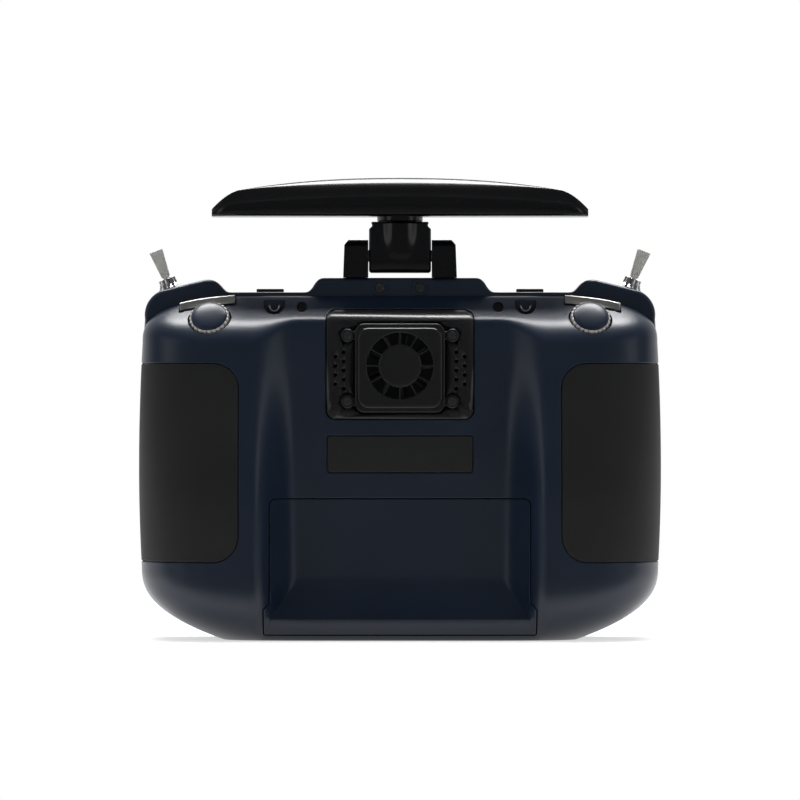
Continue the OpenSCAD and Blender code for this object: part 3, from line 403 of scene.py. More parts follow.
def turned(name, profile, n=48, wave=None):
    """A solid of revolution about Z from (radius, height) pairs that start and end on
    the axis. wave(angle, radius) changes the radius round the turn."""
    verts, rings = [], []
    for r, h in profile:
        rings.append(list(range(len(verts), len(verts) + (1 if r < 1e-6 else n))))
        for k in range(len(rings[-1])):
            a = 2 * math.pi * k / n
            reach = wave(a, r) if wave else r
            verts.append((reach * math.cos(a), reach * math.sin(a), h))
    faces = []
    for a, b in zip(rings, rings[1:]):
        for k in range(n):
            m = (k + 1) % n
            if len(a) == 1:
                faces.append((a[0], b[m], b[k]))
            elif len(b) == 1:
                faces.append((a[k], a[m], b[0]))
            else:
                faces.append((a[k], a[m], b[m], b[k]))
    return solid(name, verts, faces)


def moved(piece, matrix):
    """Moves a piece's own points. The matrix is in millimetres."""
    matrix = matrix.copy()
    matrix.translation = matrix.translation * MM
    piece.data.transform(matrix)
    return piece


def rod_y(x, z, r, y0, y1, n=36):
    """A rod along Y."""
    rod = turned("rod", [(0, 0), (r, 0), (r, y1 - y0), (0, y1 - y0)], n)
    return moved(rod, Matrix.Translation((x, y0, z)) @ Matrix.Rotation(-math.pi / 2, 4, "X"))


def block(low_corner, high_corner):
    (x0, y0, z0), (x1, y1, z1) = low_corner, high_corner
    path = np.array([(x0, z0), (x1, z0), (x1, z1), (x0, z1)])
    return lofted("block", [(path, y0), (path, y1)])


wheel_x, wheel_drop, thumb_r, wheel_t = half_w - 29.7, 8.8, 8.4, 4.0
wheel_place = (wheel_x, -deck_y - wheel_drop / math.tan(deck_slope) - 0.7, deck_z - wheel_drop)


def at_wheel(side):
    x, y, z = wheel_place
    return (Matrix.Translation((side * x, y, z)) @ Matrix.Rotation(side * math.radians(10), 4, "Y")
            @ Matrix.Rotation(math.radians(50), 4, "X"))


def drum(side, r, low_end, high_end):
    """A rod on the axis of a thumbwheel."""
    rod = turned("drum", [(0, low_end), (r, low_end), (r, high_end), (0, high_end)], 64)
    return moved(rod, at_wheel(side))


def mirrored(path, side):
    return path if side > 0 else (path * (-1, 1))[::-1]


bumper_x, bumper_h, bumper_back = (half_w - 40.3, half_w - 17.1), 3.7, wall_y - 1.5


def bumper_path(grow):
    """The strip along the arch that the bumper fills, on the right."""
    x = np.linspace(bumper_x[0] - grow, bumper_x[1] + grow, 25)
    return np.concatenate([np.stack([x, arch(x) + 0.6 - bumper_h - grow], 1),
                           np.stack([x, arch(x) + 0.6 + grow], 1)[::-1]])


eye_x, eye_z = 52.5, deck_z - 3.4


def strap_path(grow):
    """The D-shaped strap recess on the right."""
    a = np.linspace(0, 2 * np.pi, 65)[:-1]
    round_part = np.stack([eye_x + (4.6 + grow) * np.cos(a), eye_z + (4.6 + grow) * np.sin(a)], 1)
    return np.minimum(round_part, [999, deck_z - 1.8 + grow])


door_corners = [(-56.5, wall + 0.1, 0.8), (56.5, wall + 0.1, 0.8), (56.5, 13.2, 1.2), (54, 15.5, 1.2),
                (54, 58.8, 2.2), (-54, 58.8, 2.2), (-54, 15.5, 1.2), (-56.5, 13.2, 1.2)]
fan_z = deck_z - 29.4
module_low, module_top, module_hw = fan_z - 22, deck_z - 6, 30.5
pad_x, pad_low, pad_high, pad_t = half_w - 42.3, 32.8, body_h - 36, 1.2


def plate_corners(half_width, z0, z1, r):
    return [(-half_width, z0, r), (half_width, z0, r), (half_width, z1, r), (-half_width, z1, r)]


def pad_corners(side, grow=0.0):
    """A grip pad's outline. Its outer edge lies on past the parting plane."""
    r = 10.8 + grow
    right = [(pad_x - grow, pad_low - grow, r), (160, pad_low - grow, 0), (160, pad_high + grow, 0),
             (pad_x - grow, pad_high + grow, r)]
    return right if side > 0 else [(-x, z, c) for x, z, c in right][::-1]


def grown(corners, by):
    """The door's corners moved outward by a seam. The step in its sides keeps its height."""
    moved_out = []
    for x, z, r in corners:
        rise = by if z > 20 else (-by if z < 10 else 0)
        moved_out.append((x + math.copysign(by, x), z + rise, r + by))
    return moved_out


def prism(path, side, y0, y1):
    """A solid between y0 and y1 with an outline that is drawn for the right side."""
    return lofted("prism", [(mirrored(path, side), y0), (mirrored(path, side), y1)])


plate_hw, plate_low, plate_high = 30.2, fan_z - 44.3, fan_z - 29.2
well_drop, plate_drop = 7.0, 1.2
case_screws_at, case_boss_r, case_head_r, case_shank_r = [
    (41.0, deck_z - 4.8), (half_w - 21.4, 42.0)], 3.8, 2.2, 1.5
ledge_screw, ledge_head_r, ledge_shank_r = (8.4, body_h - 4.2), 2.15, 1.4
ledge_boss = [(0, 0), (3.1, 0), (3.4, 0.12), (3.5, 0.4), (3.5, 1.5), (0, 1.5)]
ear_in, ear_out, bracket_y, ear_shy = 13.3, 23.8, -wall_y + wall + 0.3, 0.7
cup_wall, cup_floor, wheel_gap, bearing_r = 1.6, -11.4, 0.8, 2.6
behind = -60.0                     # well behind the deepest grip

rear = moulding("rear_shell_moulding", [
    (grown(door_corners, seam), well_drop, "y"),
    (plate_corners(module_hw + seam, module_low - seam, module_top + seam, 4.0), well_drop, "y"),
    (plate_corners(plate_hw + seam, plate_low - seam, plate_high + seam, 1.4), plate_drop, "in"),
    (pad_corners(1, seam / 2), pad_t + 0.1, "in"), (pad_corners(-1, seam / 2), pad_t + 0.1, "in")])
hollow_steps = [("UNION", crown("inner_crown", wall))]
rear_steps = [("UNION", crown("rear_crown", 0.0))]
for side in (-1, 1):
    for x, z in case_screws_at:
        hollow_steps.append(("DIFFERENCE", rod_y(side * x, z, case_boss_r, behind, 5, 24)))
    hollow_steps.append(("DIFFERENCE", drum(side, thumb_r + wheel_gap + 1.8, -8.4, 11.6)))
    hollow_steps.append(("DIFFERENCE", prism(strap_path(cup_wall), side, behind, cup_floor + 1.8)))
    boss_place = Matrix.Translation((side * ledge_screw[0], -wall_y - 0.5, ledge_screw[1]))
    rear_steps.append(("UNION", moved(turned("ledge_boss", ledge_boss),
                                      boss_place @ Matrix.Rotation(-math.pi / 2, 4, "X"))))
hollow = carved(moulding("inner_moulding", [], 3.0, wall), *hollow_steps)
rear_steps.append(("DIFFERENCE", hollow))
for side in (-1, 1):
    ear = sorted((side * (ear_in + ear_shy), side * (ear_out - ear_shy)))
    rear_steps += [("DIFFERENCE", drum(side, thumb_r + wheel_gap, -6, 14)),
                   ("DIFFERENCE", drum(side, bearing_r, -12, 0)),
                   ("DIFFERENCE", prism(bumper_path(0.35), side, behind, -bumper_back + 2)),
                   ("DIFFERENCE", prism(strap_path(0), side, behind, cup_floor)),
                   ("DIFFERENCE", block((ear[0], bracket_y - seam, top_z), (ear[1], 1, body_h + 1)))]
    for x, z in case_screws_at:
        rear_steps += [("DIFFERENCE", rod_y(side * x, z, case_head_r, behind, -6)),
                       ("DIFFERENCE", rod_y(side * x, z, case_shank_r, behind, 1))]
    x, z = ledge_screw
    rear_steps += [("DIFFERENCE", rod_y(side * x, z, ledge_head_r, -20, -wall_y + 1.6)),
                   ("DIFFERENCE", rod_y(side * x, z, ledge_shank_r, -20, -wall_y + 5))]
rear = carved(rear, *rear_steps)


class Wire:
    """A value in a node tree. Arithmetic on it adds Math nodes."""

    def __init__(self, tree, socket=None):
        self.tree, self.socket = tree, socket

    def node(self, kind, settings, sockets, out=0):
        added = self.tree.nodes.new("ShaderNode" + kind)
        for key, value in settings.items():
            if key == "stops":
                ramp = added.color_ramp
                while len(ramp.elements) < len(value):
                    ramp.elements.new(1.0)
                for element, (place, shade) in zip(ramp.elements, value):
                    element.position, element.color = place, shade
            else:
                setattr(added, key, value)
        for key, value in sockets.items():
            if isinstance(value, Wire):
                self.tree.links.new(value.socket, added.inputs[key])
            else:
                added.inputs[key].default_value = value
        return Wire(self.tree, added.outputs[out] if added.outputs else None)

    def math(self, operation, *values):
        return self.node("Math", {"operation": operation}, dict(enumerate(values)))

    def __add__(self, other):
        return self.math("ADD", self, other)

    def __sub__(self, other):
        return self.math("SUBTRACT", self, other)

    def __rsub__(self, other):
        return self.math("SUBTRACT", other, self)

    def __mul__(self, other):
        return self.math("MULTIPLY", self, other)

    __radd__, __rmul__ = __add__, __mul__

    def larger(self, other):
        return self.math("MAXIMUM", self, other)

    def between(self, start, end):
        """0 below start, 1 above end, straight in between."""
        return self.node("MapRange", {"clamp": True}, {0: self, 1: start, 2: end})

    def blend(self, first, second):
        """The first colour where this is 0, the second where it is 1."""
        return self.node("Mix", {"data_type": "RGBA"}, {0: self, 6: first, 7: second}, 2)

    def noise(self, scale, detail=2.0):
        """Cloudy noise, about 0.5, over a vector in metres."""
        return self.node("TexNoise", {}, {"Vector": self, "Scale": scale, "Detail": detail})


def finish(name, build):
    """A new material. build takes a wire on its tree and the place in metres, and gives the shader."""
    material = bpy.data.materials.new(name)
    material.use_nodes = True
    material.node_tree.nodes.clear()
    w = Wire(material.node_tree)
    place = w.node("TexCoord", {}, {}, 3)
    w.node("OutputMaterial", {}, {"Surface": build(w, place)})
    return material


def satin_paint(w, place):
    cloud, mist = place.noise(35.0), place.noise(2600.0, 1.0)
    wear = place.noise(140.0, 4.0).between(0.62, 0.8)
    colour = cloud.between(0.3, 0.7).blend((0.0052, 0.0118, 0.0262, 1), (0.0070, 0.0144, 0.0305, 1))
    bump = w.node("Bump", {}, {"Strength": 0.10, "Distance": 0.00008, "Height": mist})
    return w.node("BsdfPrincipled", {}, {
        "Base Color": colour, "Roughness": 0.285 + cloud * 0.05 + wear * 0.04, "Normal": bump})


def dress(piece, material, body, replaces):
    """Gives a piece its material, the body it moves with and the nodes it stands for."""
    piece.data.materials.clear()
    piece.data.materials.append(material)
    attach(piece, body)
    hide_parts(*replaces)


navy_paint = finish("navy_satin_paint", satin_paint)
dress(rear, navy_paint, "housing", ["rear_shell"])

# -------------------------------------------------------------- grip pads
# A soft rubber pad lies flush in a recess of each grip and wraps round its
# side to the parting plane. It is moulded 1.2 mm thick, with a matt grain,
# and glued in. The same method makes every sheet that follows the housing.


def skin_sheet(name, corners, thick, way="in", step=1.3):
    """A closed sheet of the rear surface inside an outline, with rounded edges."""
    limit = HALF + deck_y - 0.2
    columns, z_rows = surface_grid(step, HALF + deck_y - 0.1, 0.0, deck_z - 0.05)
    s, z = (v.ravel() for v in np.meshgrid(columns, z_rows))
    path = outline(corners)
    keep = (inside_by(path, unrolled(s, z), z) > 0.75) & (np.abs(s) < limit - 0.3)
    crease_s, crease_at = crease()
    keep &= (np.abs(np.abs(s) - np.interp(z, crease_at, crease_s)) > 0.55) | (z > valley_z)
    loops = [(wrapped(outline(corners, -g), limit), True) for g in (0.5, 0.38, 0.24, 0.1, 0.0)]
    if path[:, 1].min() < 20:
        inner_crease = [(a, b) for a, b in zip(crease_s, crease_at) if b > wall + 0.8]
        loops += [([(side * a, b) for a, b in inner_crease], False) for side in (-1, 1)]
    points, faces = triangles(zip(s[keep], z[keep]), loops)
    centre = points[faces].mean(1)
    inside = inside_by(outline(corners, 0.01), unrolled(centre[:, 0], centre[:, 1]), centre[:, 1]) > 0
    faces = faces[inside & (np.abs(centre[:, 0]) < limit)]
    used, faces = np.unique(faces, return_inverse=True)
    faces = faces.reshape(-1, 3)
    s, z = points[used, 0], points[used, 1]
    ways = inward(s, z) if way == "in" else np.array([[0.0, 1.0, 0.0]])
    top = rear_surface(s, z)
    d = np.maximum(0, inside_by(path, unrolled(s, z), z))
    return closed_sheet(name, top + rounded(d)[:, None] * ways, top + thick * ways, faces)


def closed_sheet(name, top, under, faces):
    """Two copies of one triangulation joined round their edge."""
    n = len(top)
    sides = {}
    for f in faces:
        for a, b in ((f[0], f[1]), (f[1], f[2]), (f[2], f[0])):
            sides[(a, b)] = True
    skins = faces.tolist() + (faces[:, ::-1] + n).tolist()
    rim = [(b, a, a + n, b + n) for a, b in sides if (b, a) not in sides]
    return solid(name, np.concatenate([top, under]), skins + rim)


def soft_rubber(w, place):
    grain = place.noise(2200.0, 3.0)
    cloud = place.noise(28.0)
    colour = cloud.between(0.25, 0.75).blend((0.0102, 0.0103, 0.0105, 1), (0.0132, 0.0133, 0.0135, 1))
    bump = w.node("Bump", {}, {"Strength": 0.35, "Distance": 0.0001, "Height": grain})
    return w.node("BsdfPrincipled", {}, {
        "Base Color": colour, "Roughness": 0.60 + grain * 0.12, "Normal": bump, "Specular IOR Level": 0.35})


rubber = finish("grip_rubber", soft_rubber)
for side, word in ((-1, "left"), (1, "right")):
    pad = skin_sheet("rubber_pad_" + word, pad_corners(side, -seam / 2), pad_t)
    dress(pad, rubber, "housing", ["grip_pad_" + word])

# ----------------------------------------------------------- battery door
# The door is moulded with the shell's own surface, foot bar and ramp
# included, in the same navy paint, and slides off to the rear against its clips.
door = skin_sheet("battery_door_moulding", door_corners, wall, "y", step=1.15)
dress(door, navy_paint, "battery_door", ["battery_door"])

# ---------------------------------------------- CAD parts that keep their shape
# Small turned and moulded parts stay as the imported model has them: plastic,
# silver, chrome and blackened steel. Their imported normals are dropped, their
# faces smoothed, and every edge gets the fine round that a tool leaves.


def even(piece):
    """Keeps large flat faces flat in the shading beside their rounded edges."""
    flat = piece.modifiers.new("flat_faces", "WEIGHTED_NORMAL")
    flat.keep_sharp, flat.weight = True, 100


def keep(nodes, material, edge=0.2, segments=2):
    for node in nodes:
        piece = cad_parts[node]
        mesh = piece.data
        if "custom_normal" in mesh.attributes:
            mesh.attributes.remove(mesh.attributes["custom_normal"])
        mesh.polygons.foreach_set("use_smooth", [True] * len(mesh.polygons))
        mesh.set_sharp_from_angle(angle=math.radians(35))
        weld = piece.modifiers.new("weld", "WELD")
        weld.merge_threshold = 2e-6
        if edge:
            bevel = piece.modifiers.new("edge", "BEVEL")
            bevel.width, bevel.segments, bevel.angle_limit = edge * MM, segments, math.radians(35)
            bevel.limit_method, bevel.miter_outer = "ANGLE", "MITER_ARC"
            bevel.use_clamp_overlap, bevel.harden_normals = True, True
        even(piece)
        mesh.materials.clear()
        mesh.materials.append(material)


def gloss_plastic(w, place, shade=0.0022):
    cloud, swirl = place.noise(60.0), place.noise(900.0, 3.0)
    dust = place.noise(1500.0, 2.0).between(0.72, 0.78)
    dusty = shade + 0.003
    colour = dust.blend((shade, shade, shade * 1.03, 1), (dusty, dusty, dusty, 1))
    bump = w.node("Bump", {}, {"Strength": 0.05, "Distance": 0.0001, "Height": swirl})
    return w.node("BsdfPrincipled", {}, {
        "Base Color": colour, "Roughness": 0.16 + cloud * 0.08 + dust * 0.2, "Normal": bump})


def satin_plastic(w, place):
    grain, cloud = place.noise(2600.0, 2.0), place.noise(45.0)
    colour = cloud.between(0.3, 0.7).blend((0.0050, 0.0050, 0.0052, 1), (0.0070, 0.0070, 0.0072, 1))
    bump = w.node("Bump", {}, {"Strength": 0.2, "Distance": 0.0001, "Height": grain})
    return w.node("BsdfPrincipled", {}, {
        "Base Color": colour, "Roughness": 0.36 + grain * 0.10, "Normal": bump})


def machined(w, place, metal=1.0):
    brush = w.node("Mapping", {}, {0: place, 3: (60.0, 60.0, 2400.0)}).noise(1.0, 3.0)
    cloud = place.noise(120.0)
    colour = cloud.between(0.3, 0.7).blend((0.52, 0.51, 0.48, 1), (0.60, 0.59, 0.56, 1))
    bump = w.node("Bump", {}, {"Strength": 0.12, "Distance": 0.00005, "Height": brush})
    return w.node("BsdfPrincipled", {}, {
        "Base Color": colour, "Metallic": metal, "Roughness": 0.34 + brush * 0.12, "Normal": bump})


def plated(w, place):
    ripple, haze = place.noise(400.0, 2.0), place.noise(90.0, 3.0).between(0.5, 0.8)
    bump = w.node("Bump", {}, {"Strength": 0.05, "Distance": 0.0001, "Height": ripple})
    return w.node("BsdfPrincipled", {}, {
        "Base Color": haze.blend((0.62, 0.62, 0.61, 1), (0.52, 0.52, 0.50, 1)), "Metallic": 1.0,
        "Roughness": 0.09 + haze * 0.08, "Normal": bump})


def blackened(w, place):
    speck = place.noise(1200.0, 3.0)
    worn = place.noise(500.0, 2.0).between(0.62, 0.7)
    return w.node("BsdfPrincipled", {}, {
        "Base Color": worn.blend((0.10, 0.10, 0.105, 1), (0.22, 0.22, 0.22, 1)), "Metallic": 0.9,
        "Roughness": 0.30 + speck * 0.14})


black_gloss = finish("black_gloss_plastic", gloss_plastic)
black_satin = finish("black_satin_plastic", satin_plastic)
module_gloss = finish("module_gloss_plastic", lambda w, place: gloss_plastic(w, place, 0.0085))
silver = finish("machined_silver", machined)
blasted = finish("blasted_silver", lambda w, place: machined(w, place, 0.35))
chrome = finish("chrome_plate", plated)
black_steel = finish("blackened_steel", blackened)

# ------------------------------------------------------- nameplate, module
# A blank plate fills a recess of the panel. Above it the module's glossy
# cover carries a raised fan frame, held at its corners by four screws.
nameplate = skin_sheet("nameplate_blank", plate_corners(plate_hw, plate_low, plate_high, 1.3), 1.0)


def label_stock(w, place):
    weave = place.noise(1500.0, 4.0)
    colour = weave.between(0.4, 0.6).blend((0.0090, 0.0093, 0.0098, 1), (0.0118, 0.0121, 0.0126, 1))
    bump = w.node("Bump", {}, {"Strength": 0.3, "Distance": 0.0001, "Height": weave})
    return w.node("BsdfPrincipled", {}, {
        "Base Color": colour, "Roughness": 0.42 + weave * 0.15, "Normal": bump})


dress(nameplate, finish("nameplate_film", label_stock), "housing", ["blank_nameplate"])
keep(["module_cover"], module_gloss, 0)

fan_w, fan_d, fan_t, panel_y = 36.0, 27.4, 10.6, -panel_d
fan_y = panel_y - 4.6
screw_at = [(x * 21.8, z) for x in (-1, 1) for z in (fan_z - 14.9, fan_z + 12.6)]


def plate_path(half_width, z0, z1, r, grow=0.0):
    return outline(plate_corners(half_width, z0, z1, r), grow, 50)


def rounded_plate(name, half_width, z0, z1, r, y0, y1, edge, n=7):
    """A plate between y0 and y1 whose rear edge is rounded."""
    rings = [(plate_path(half_width, z0, z1, r, -edge * (1 - math.sin(a))), y0 + edge * (1 - math.cos(a)))
             for a in np.linspace(0, math.pi / 2, n)]
    return lofted(name, rings + [(rings[-1][0], y1)], 50)


def spun(name, profile, x, y, z, n=64):
    """Turned about an axis along Y: the profile's heights run towards +Y."""
    place = Matrix.Translation((x, y, z)) @ Matrix.Rotation(-math.pi / 2, 4, "X")
    return moved(turned(name, profile, n), place)


fan = rounded_plate("fan_frame_moulding", fan_w / 2, fan_z - 18, fan_z + 16, 5.0, fan_y, fan_y + fan_t, 1.7)
fan_steps = [("UNION", rounded_plate("flange", fan_w / 2 + 0.8, fan_z - 19.5, fan_z + 17.6, 4.0,
                                     fan_y + 1.2, fan_y + 3.6, 0.7))]
boss = [(0, 0), (2.1, 0), (2.6, 0.2), (2.85, 0.6), (2.9, 1.0), (2.9, 5.0), (0, 5.0)]
for x, z in screw_at:
    arm = rounded_plate("arm", 3.2, z - 1.8, z + 1.8, 0.5, panel_y - 2, panel_y + 1.4, 0.4, 4)
    arm.data.transform(Matrix.Translation(((x - math.copysign(3, x)) * MM, 0, 0)))
    fan_steps += [("UNION", spun("boss", boss, x, panel_y - 2.6, z, 40)), ("UNION", arm)]
bore_r, spokes, spoke_w = fan_d / 2, 12, 0.84
mouth = [(0, -1), (bore_r + 0.6, -1), (bore_r + 0.6, 0), (bore_r + 0.35, 0.08), (bore_r + 0.12, 0.3),
         (bore_r, 0.7), (bore_r, fan_t + 1), (0, fan_t + 1)]
fan_steps.append(("DIFFERENCE", spun("mouth", mouth, 0, fan_y, fan_z, 96)))
for x, z in screw_at:
    fan_steps += [("DIFFERENCE", rod_y(x, z, 2.0, panel_y - 4, panel_y - 1)),
                  ("DIFFERENCE", rod_y(x, z, 1.2, panel_y - 4, panel_y + 4))]
hub = [(0, 0), (7.6, 0), (8.2, 0.06), (8.7, 0.22), (9.0, 0.5), (9.1, 0.8), (9.1, 1.2), (0, 1.2)]
fan_steps.append(("UNION", spun("hub", hub, 0, fan_y + 0.4, fan_z, 96)))
spoke_path = np.array([(8.6, -1), (bore_r + 0.4, -1), (bore_r + 0.4, 1), (8.6, 1)]) * (1, spoke_w / 2)
at_fan = Matrix.Translation((0, 0, fan_z))
for k in range(spokes):
    spoke = lofted("spoke", [(spoke_path * (1, share), fan_y + y)
                             for share, y in ((0.35, 0.42), (0.8, 0.52), (1, 0.75), (1, 1.5))])
    turn = Matrix.Rotation(2 * math.pi * k / spokes, 4, "Y")
    fan_steps.append(("UNION", moved(spoke, at_fan @ turn)))
motor = [(0, 0), (7, 0), (7, 1), (0, 1)]
fan_steps.append(("UNION", spun("motor", motor, 0, fan_y + fan_t - 1, fan_z)))
for a in (30, 150, 270):
    leg = block((6, fan_y + fan_t - 1, -1), (bore_r + 0.4, fan_y + fan_t, 1))
    fan_steps.append(("UNION", moved(leg, at_fan @ Matrix.Rotation(math.radians(a), 4, "Y"))))
fan_steps.append(("UNION", rod_y(0, fan_z, 1, fan_y + 1.5, fan_y + fan_t - 0.5)))
fan = carved(fan, *fan_steps)
even(fan)
dress(fan, module_gloss, "housing", ["fan_frame"])
keep(["fan_impeller"], black_satin, 0.08, 1)
keep(["module_screws", "bracket_screws", "case_screws"], black_steel, 0.12)

# ----------------------------------------------------- bumpers, thumbwheels
# A bumper fills the slot along each shoulder's arch: a satin zinc casting with
# bevelled edges. Below it a knurled wheel turns in its well under a navy dome.
bumper_edge = ((0.62, -14.0), (0.40, -13.93), (0.18, -13.72), (0.04, -13.4), (0.0, -13.0),
               (0.0, -bumper_back))
knurls, knurl_depth, cap_r, cap_rise = 24, 0.75, 7.5, 1.5


def knurled(angle, r):
    if r < thumb_r - 1.2:
        return r
    return r - knurl_depth * (1 - abs(math.sin(knurls / 2 * angle))) ** 1.2


rim = [(0, -wheel_t), (7.4, -wheel_t), (thumb_r - 0.35, -wheel_t + 0.15), (thumb_r, -wheel_t + 0.55),
       (thumb_r, -0.55), (thumb_r - 0.35, -0.15), (7.75, 0.0), (7.6, 0.0), (7.6, -0.3), (0, -0.3)]
dome = [(0, -0.25), (cap_r, -0.25), (cap_r, 0.15)]
dome += [(cap_r * math.cos(a), 0.3 + cap_rise * math.sin(a)) for a in np.radians(np.linspace(4, 88, 16))]
dome += [(0, 0.3 + cap_rise)]
for side, word in ((-1, "left"), (1, "right")):
    strip = lofted("bumper_strip_" + word, [(mirrored(bumper_path(-g), side), y) for g, y in bumper_edge])
    dress(strip, silver, "bumper_" + word, ["bumper_" + word])
    wheel = moved(turned("knurled_wheel_" + word, rim, 288, wave=knurled), at_wheel(side))
    wheel = carved(wheel, ("DIFFERENCE", drum(side, 2.05, -5, -0.8)))
    dress(wheel, blasted, "thumbwheel_" + word, ["thumbwheel_" + word])
    cap = moved(turned("wheel_dome_" + word, dome, 72), at_wheel(side))
    dress(cap, navy_paint, "thumbwheel_" + word, ["wheel_cap_" + word])
keep(["wheel_pots", "top_key_left", "top_key_right"], black_satin, 0.3)
keep(["strap_eyes"], chrome, 0)

# ---------------------------------------------------------------- toggles
# A toggle stands on each shoulder and another on the face in front of it. A
# plated dress nut, flared at its foot and fluted, holds the bushing, and a
# flat silver lever widens towards its tip.
lever_l, toggle_lean, flutes, flute_depth = 12.3, math.radians(21.4), 10, 0.11


def at_toggle(side):
    return (Matrix.Translation((side * (half_w - 12.6), 6.0, body_h - 4.3))
            @ Matrix.Rotation(side * toggle_lean, 4, "Y"))


def at_front_toggle(side):
    return (Matrix.Translation((side * (half_w - 25), 21.0, top_z - 13.2))
            @ Matrix.Rotation(-math.pi / 2, 4, "X"))


def fluted(angle, r):
    if r <= 3.3:
        return r
    return r * (1 - flute_depth * (0.5 + 0.5 * math.cos(flutes * angle)) ** 2)


def dress_nut(name, place, flare):
    """A fluted nut with the bushing's bore through it, and the switch's can below the panel."""
    profile = [(0, 0.25), (3.75 + flare, 0.25), (3.85 + flare, 0.5), (3.8 + 0.6 * flare, 1.1),
               (3.75 + 0.25 * flare, 2.1), (3.75, 3.2), (3.85, 4.0), (3.75, 4.3), (3.3, 4.45), (2.7, 4.5),
               (0, 4.5)]
    nut = turned(name, profile, 144, wave=fluted)
    can = turned("can", [(0, -12), (4.4, -12), (4.6, -11.8), (4.6, -4.1), (4.4, -3.9), (2.9, -3.9),
                         (2.9, 1), (0, 1)])
    bore = turned("bore", [(0, 0.2), (1.2, 0.6), (2.0, 1.6), (2.15, 2.5), (1.95, 3.4), (1.95, 4.2),
                           (2.2, 5), (0, 5)])
    nut = carved(nut, ("UNION", can), ("DIFFERENCE", bore))
    for x in (-2, 2):
        pin = turned("pin", [(0, -15), (0.6, -15), (0.6, -11.5), (0, -11.5)], 16)
        nut = carved(nut, ("UNION", moved(pin, Matrix.Translation((x, 0, 0)))))
    return moved(nut, place)


def flat_lever(name, place):
    """A ball and neck that carry the flat, widening lever."""
    rings = []
    for half_t, shrink in ((-0.75, 0.3), (-0.66, 0.1), (-0.45, 0.0), (0.45, 0.0), (0.66, 0.1), (0.75, 0.3)):
        corners = [(-1.5, 5.0, 0.3), (1.5, 5.0, 0.3), (1.85, 5.6, 0.3), (2.95, lever_l + 4.7, 0.35),
                   (-2.95, lever_l + 4.7, 0.35), (-1.85, 5.6, 0.3)]
        rings.append((outline(corners, -shrink, 50), half_t))
    lever = lofted(name, rings)
    ball_r, ball_z = 1.9, 2.5
    turns = np.radians(np.linspace(-80, 50, 12))
    ball = [(ball_r * math.cos(a), ball_z + ball_r * math.sin(a)) for a in turns]
    ball = [(0, ball_z - ball_r)] + ball + [(1.2, 4.1), (1.2, 5.7), (0.9, 6.2), (0, 6.4)]
    lever = carved(lever, ("UNION", turned("ball", ball, 36)))
    return moved(lever, place)


for row, at_row, flare in (("rear", at_toggle, 1.45), ("front", at_front_toggle, 0.8)):
    for side, word in ((-1, "left"), (1, "right")):
        nut = dress_nut(f"{row}_nut_{word}", at_row(side), flare)
        dress(nut, chrome, "housing", [row + "_toggle_switches"])
        lever = f"{row}_lever_{word}"
        dress(flat_lever(f"{row}_toggle_lever_{word}", at_row(side)), blasted, lever, [lever])

# ---------------------------------------------------------------- antenna
# A bracket under the ledge raises two ears. Between them a hinge block turns
# on a steel pin, and the bar turns on the block. All are glossy black mouldings.
hinge_y, hinge_z = -2.0, body_h + 9.3
block_top, barrel_r = hinge_z + 14.2, 7.2
keep(["antenna_bracket"], black_gloss, 0.9, 4)
keep(["hinge_pin"], silver, 0.2)


def block_depth(x, z):
    """Half depth of the hinge block: barrel, neck and cheeks, with wide fillets between."""
    barrel = 6.6 * np.maximum(0.02, 1 - (np.abs(z - hinge_z) / 7.3) ** 4) ** 0.25
    barrel = np.where(z > hinge_z, 6.6 - 1.9 * smooth((z - hinge_z) / 8), barrel) - 0.004 * x * x
    neck = np.sqrt(np.maximum(0.4, 8.0 ** 2 - x ** 2)) * smooth((z - hinge_z + 7) / 9) - 0.35
    cheek = 4.9 - 1.7 * smooth((z - hinge_z - 3) / 9)
    lower = -soft_min(-barrel, -cheek, 2.0)
    return np.minimum(-soft_min(-lower, -neck, 2.2), 7.3)


def pillow(name, corners, half_depth, y, edge):
    """A solid that bulges both ways from the plane at y inside an outline."""
    path, step = outline(corners), 0.6
    x, z = (v.ravel() for v in np.meshgrid(np.arange(path[:, 0].min(), path[:, 0].max(), step),
                                           np.arange(path[:, 1].min(), path[:, 1].max(), step)))
    keep_in = inside_by(path, x, z) > edge + 0.3
    loops = [(outline(corners, -g, step).tolist(), True)
             for g in edge * np.array([0, 0.08, 0.22, 0.42, 0.7, 1.0])]
    points, faces = triangles(zip(x[keep_in], z[keep_in]), loops)
    centre = points[faces].mean(1)
    faces = faces[inside_by(path, centre[:, 0], centre[:, 1]) > 0]
    used, faces = np.unique(faces, return_inverse=True)
    faces, points = faces.reshape(-1, 3), points[used]
    d = np.maximum(0, inside_by(path, points[:, 0], points[:, 1]))
    h = half_depth(points[:, 0], points[:, 1]) - rounded(d, edge)
    return closed_sheet(name, np.stack([points[:, 0], y - h, points[:, 1]], 1),
                        np.stack([points[:, 0], y + h, points[:, 1]], 1), faces)


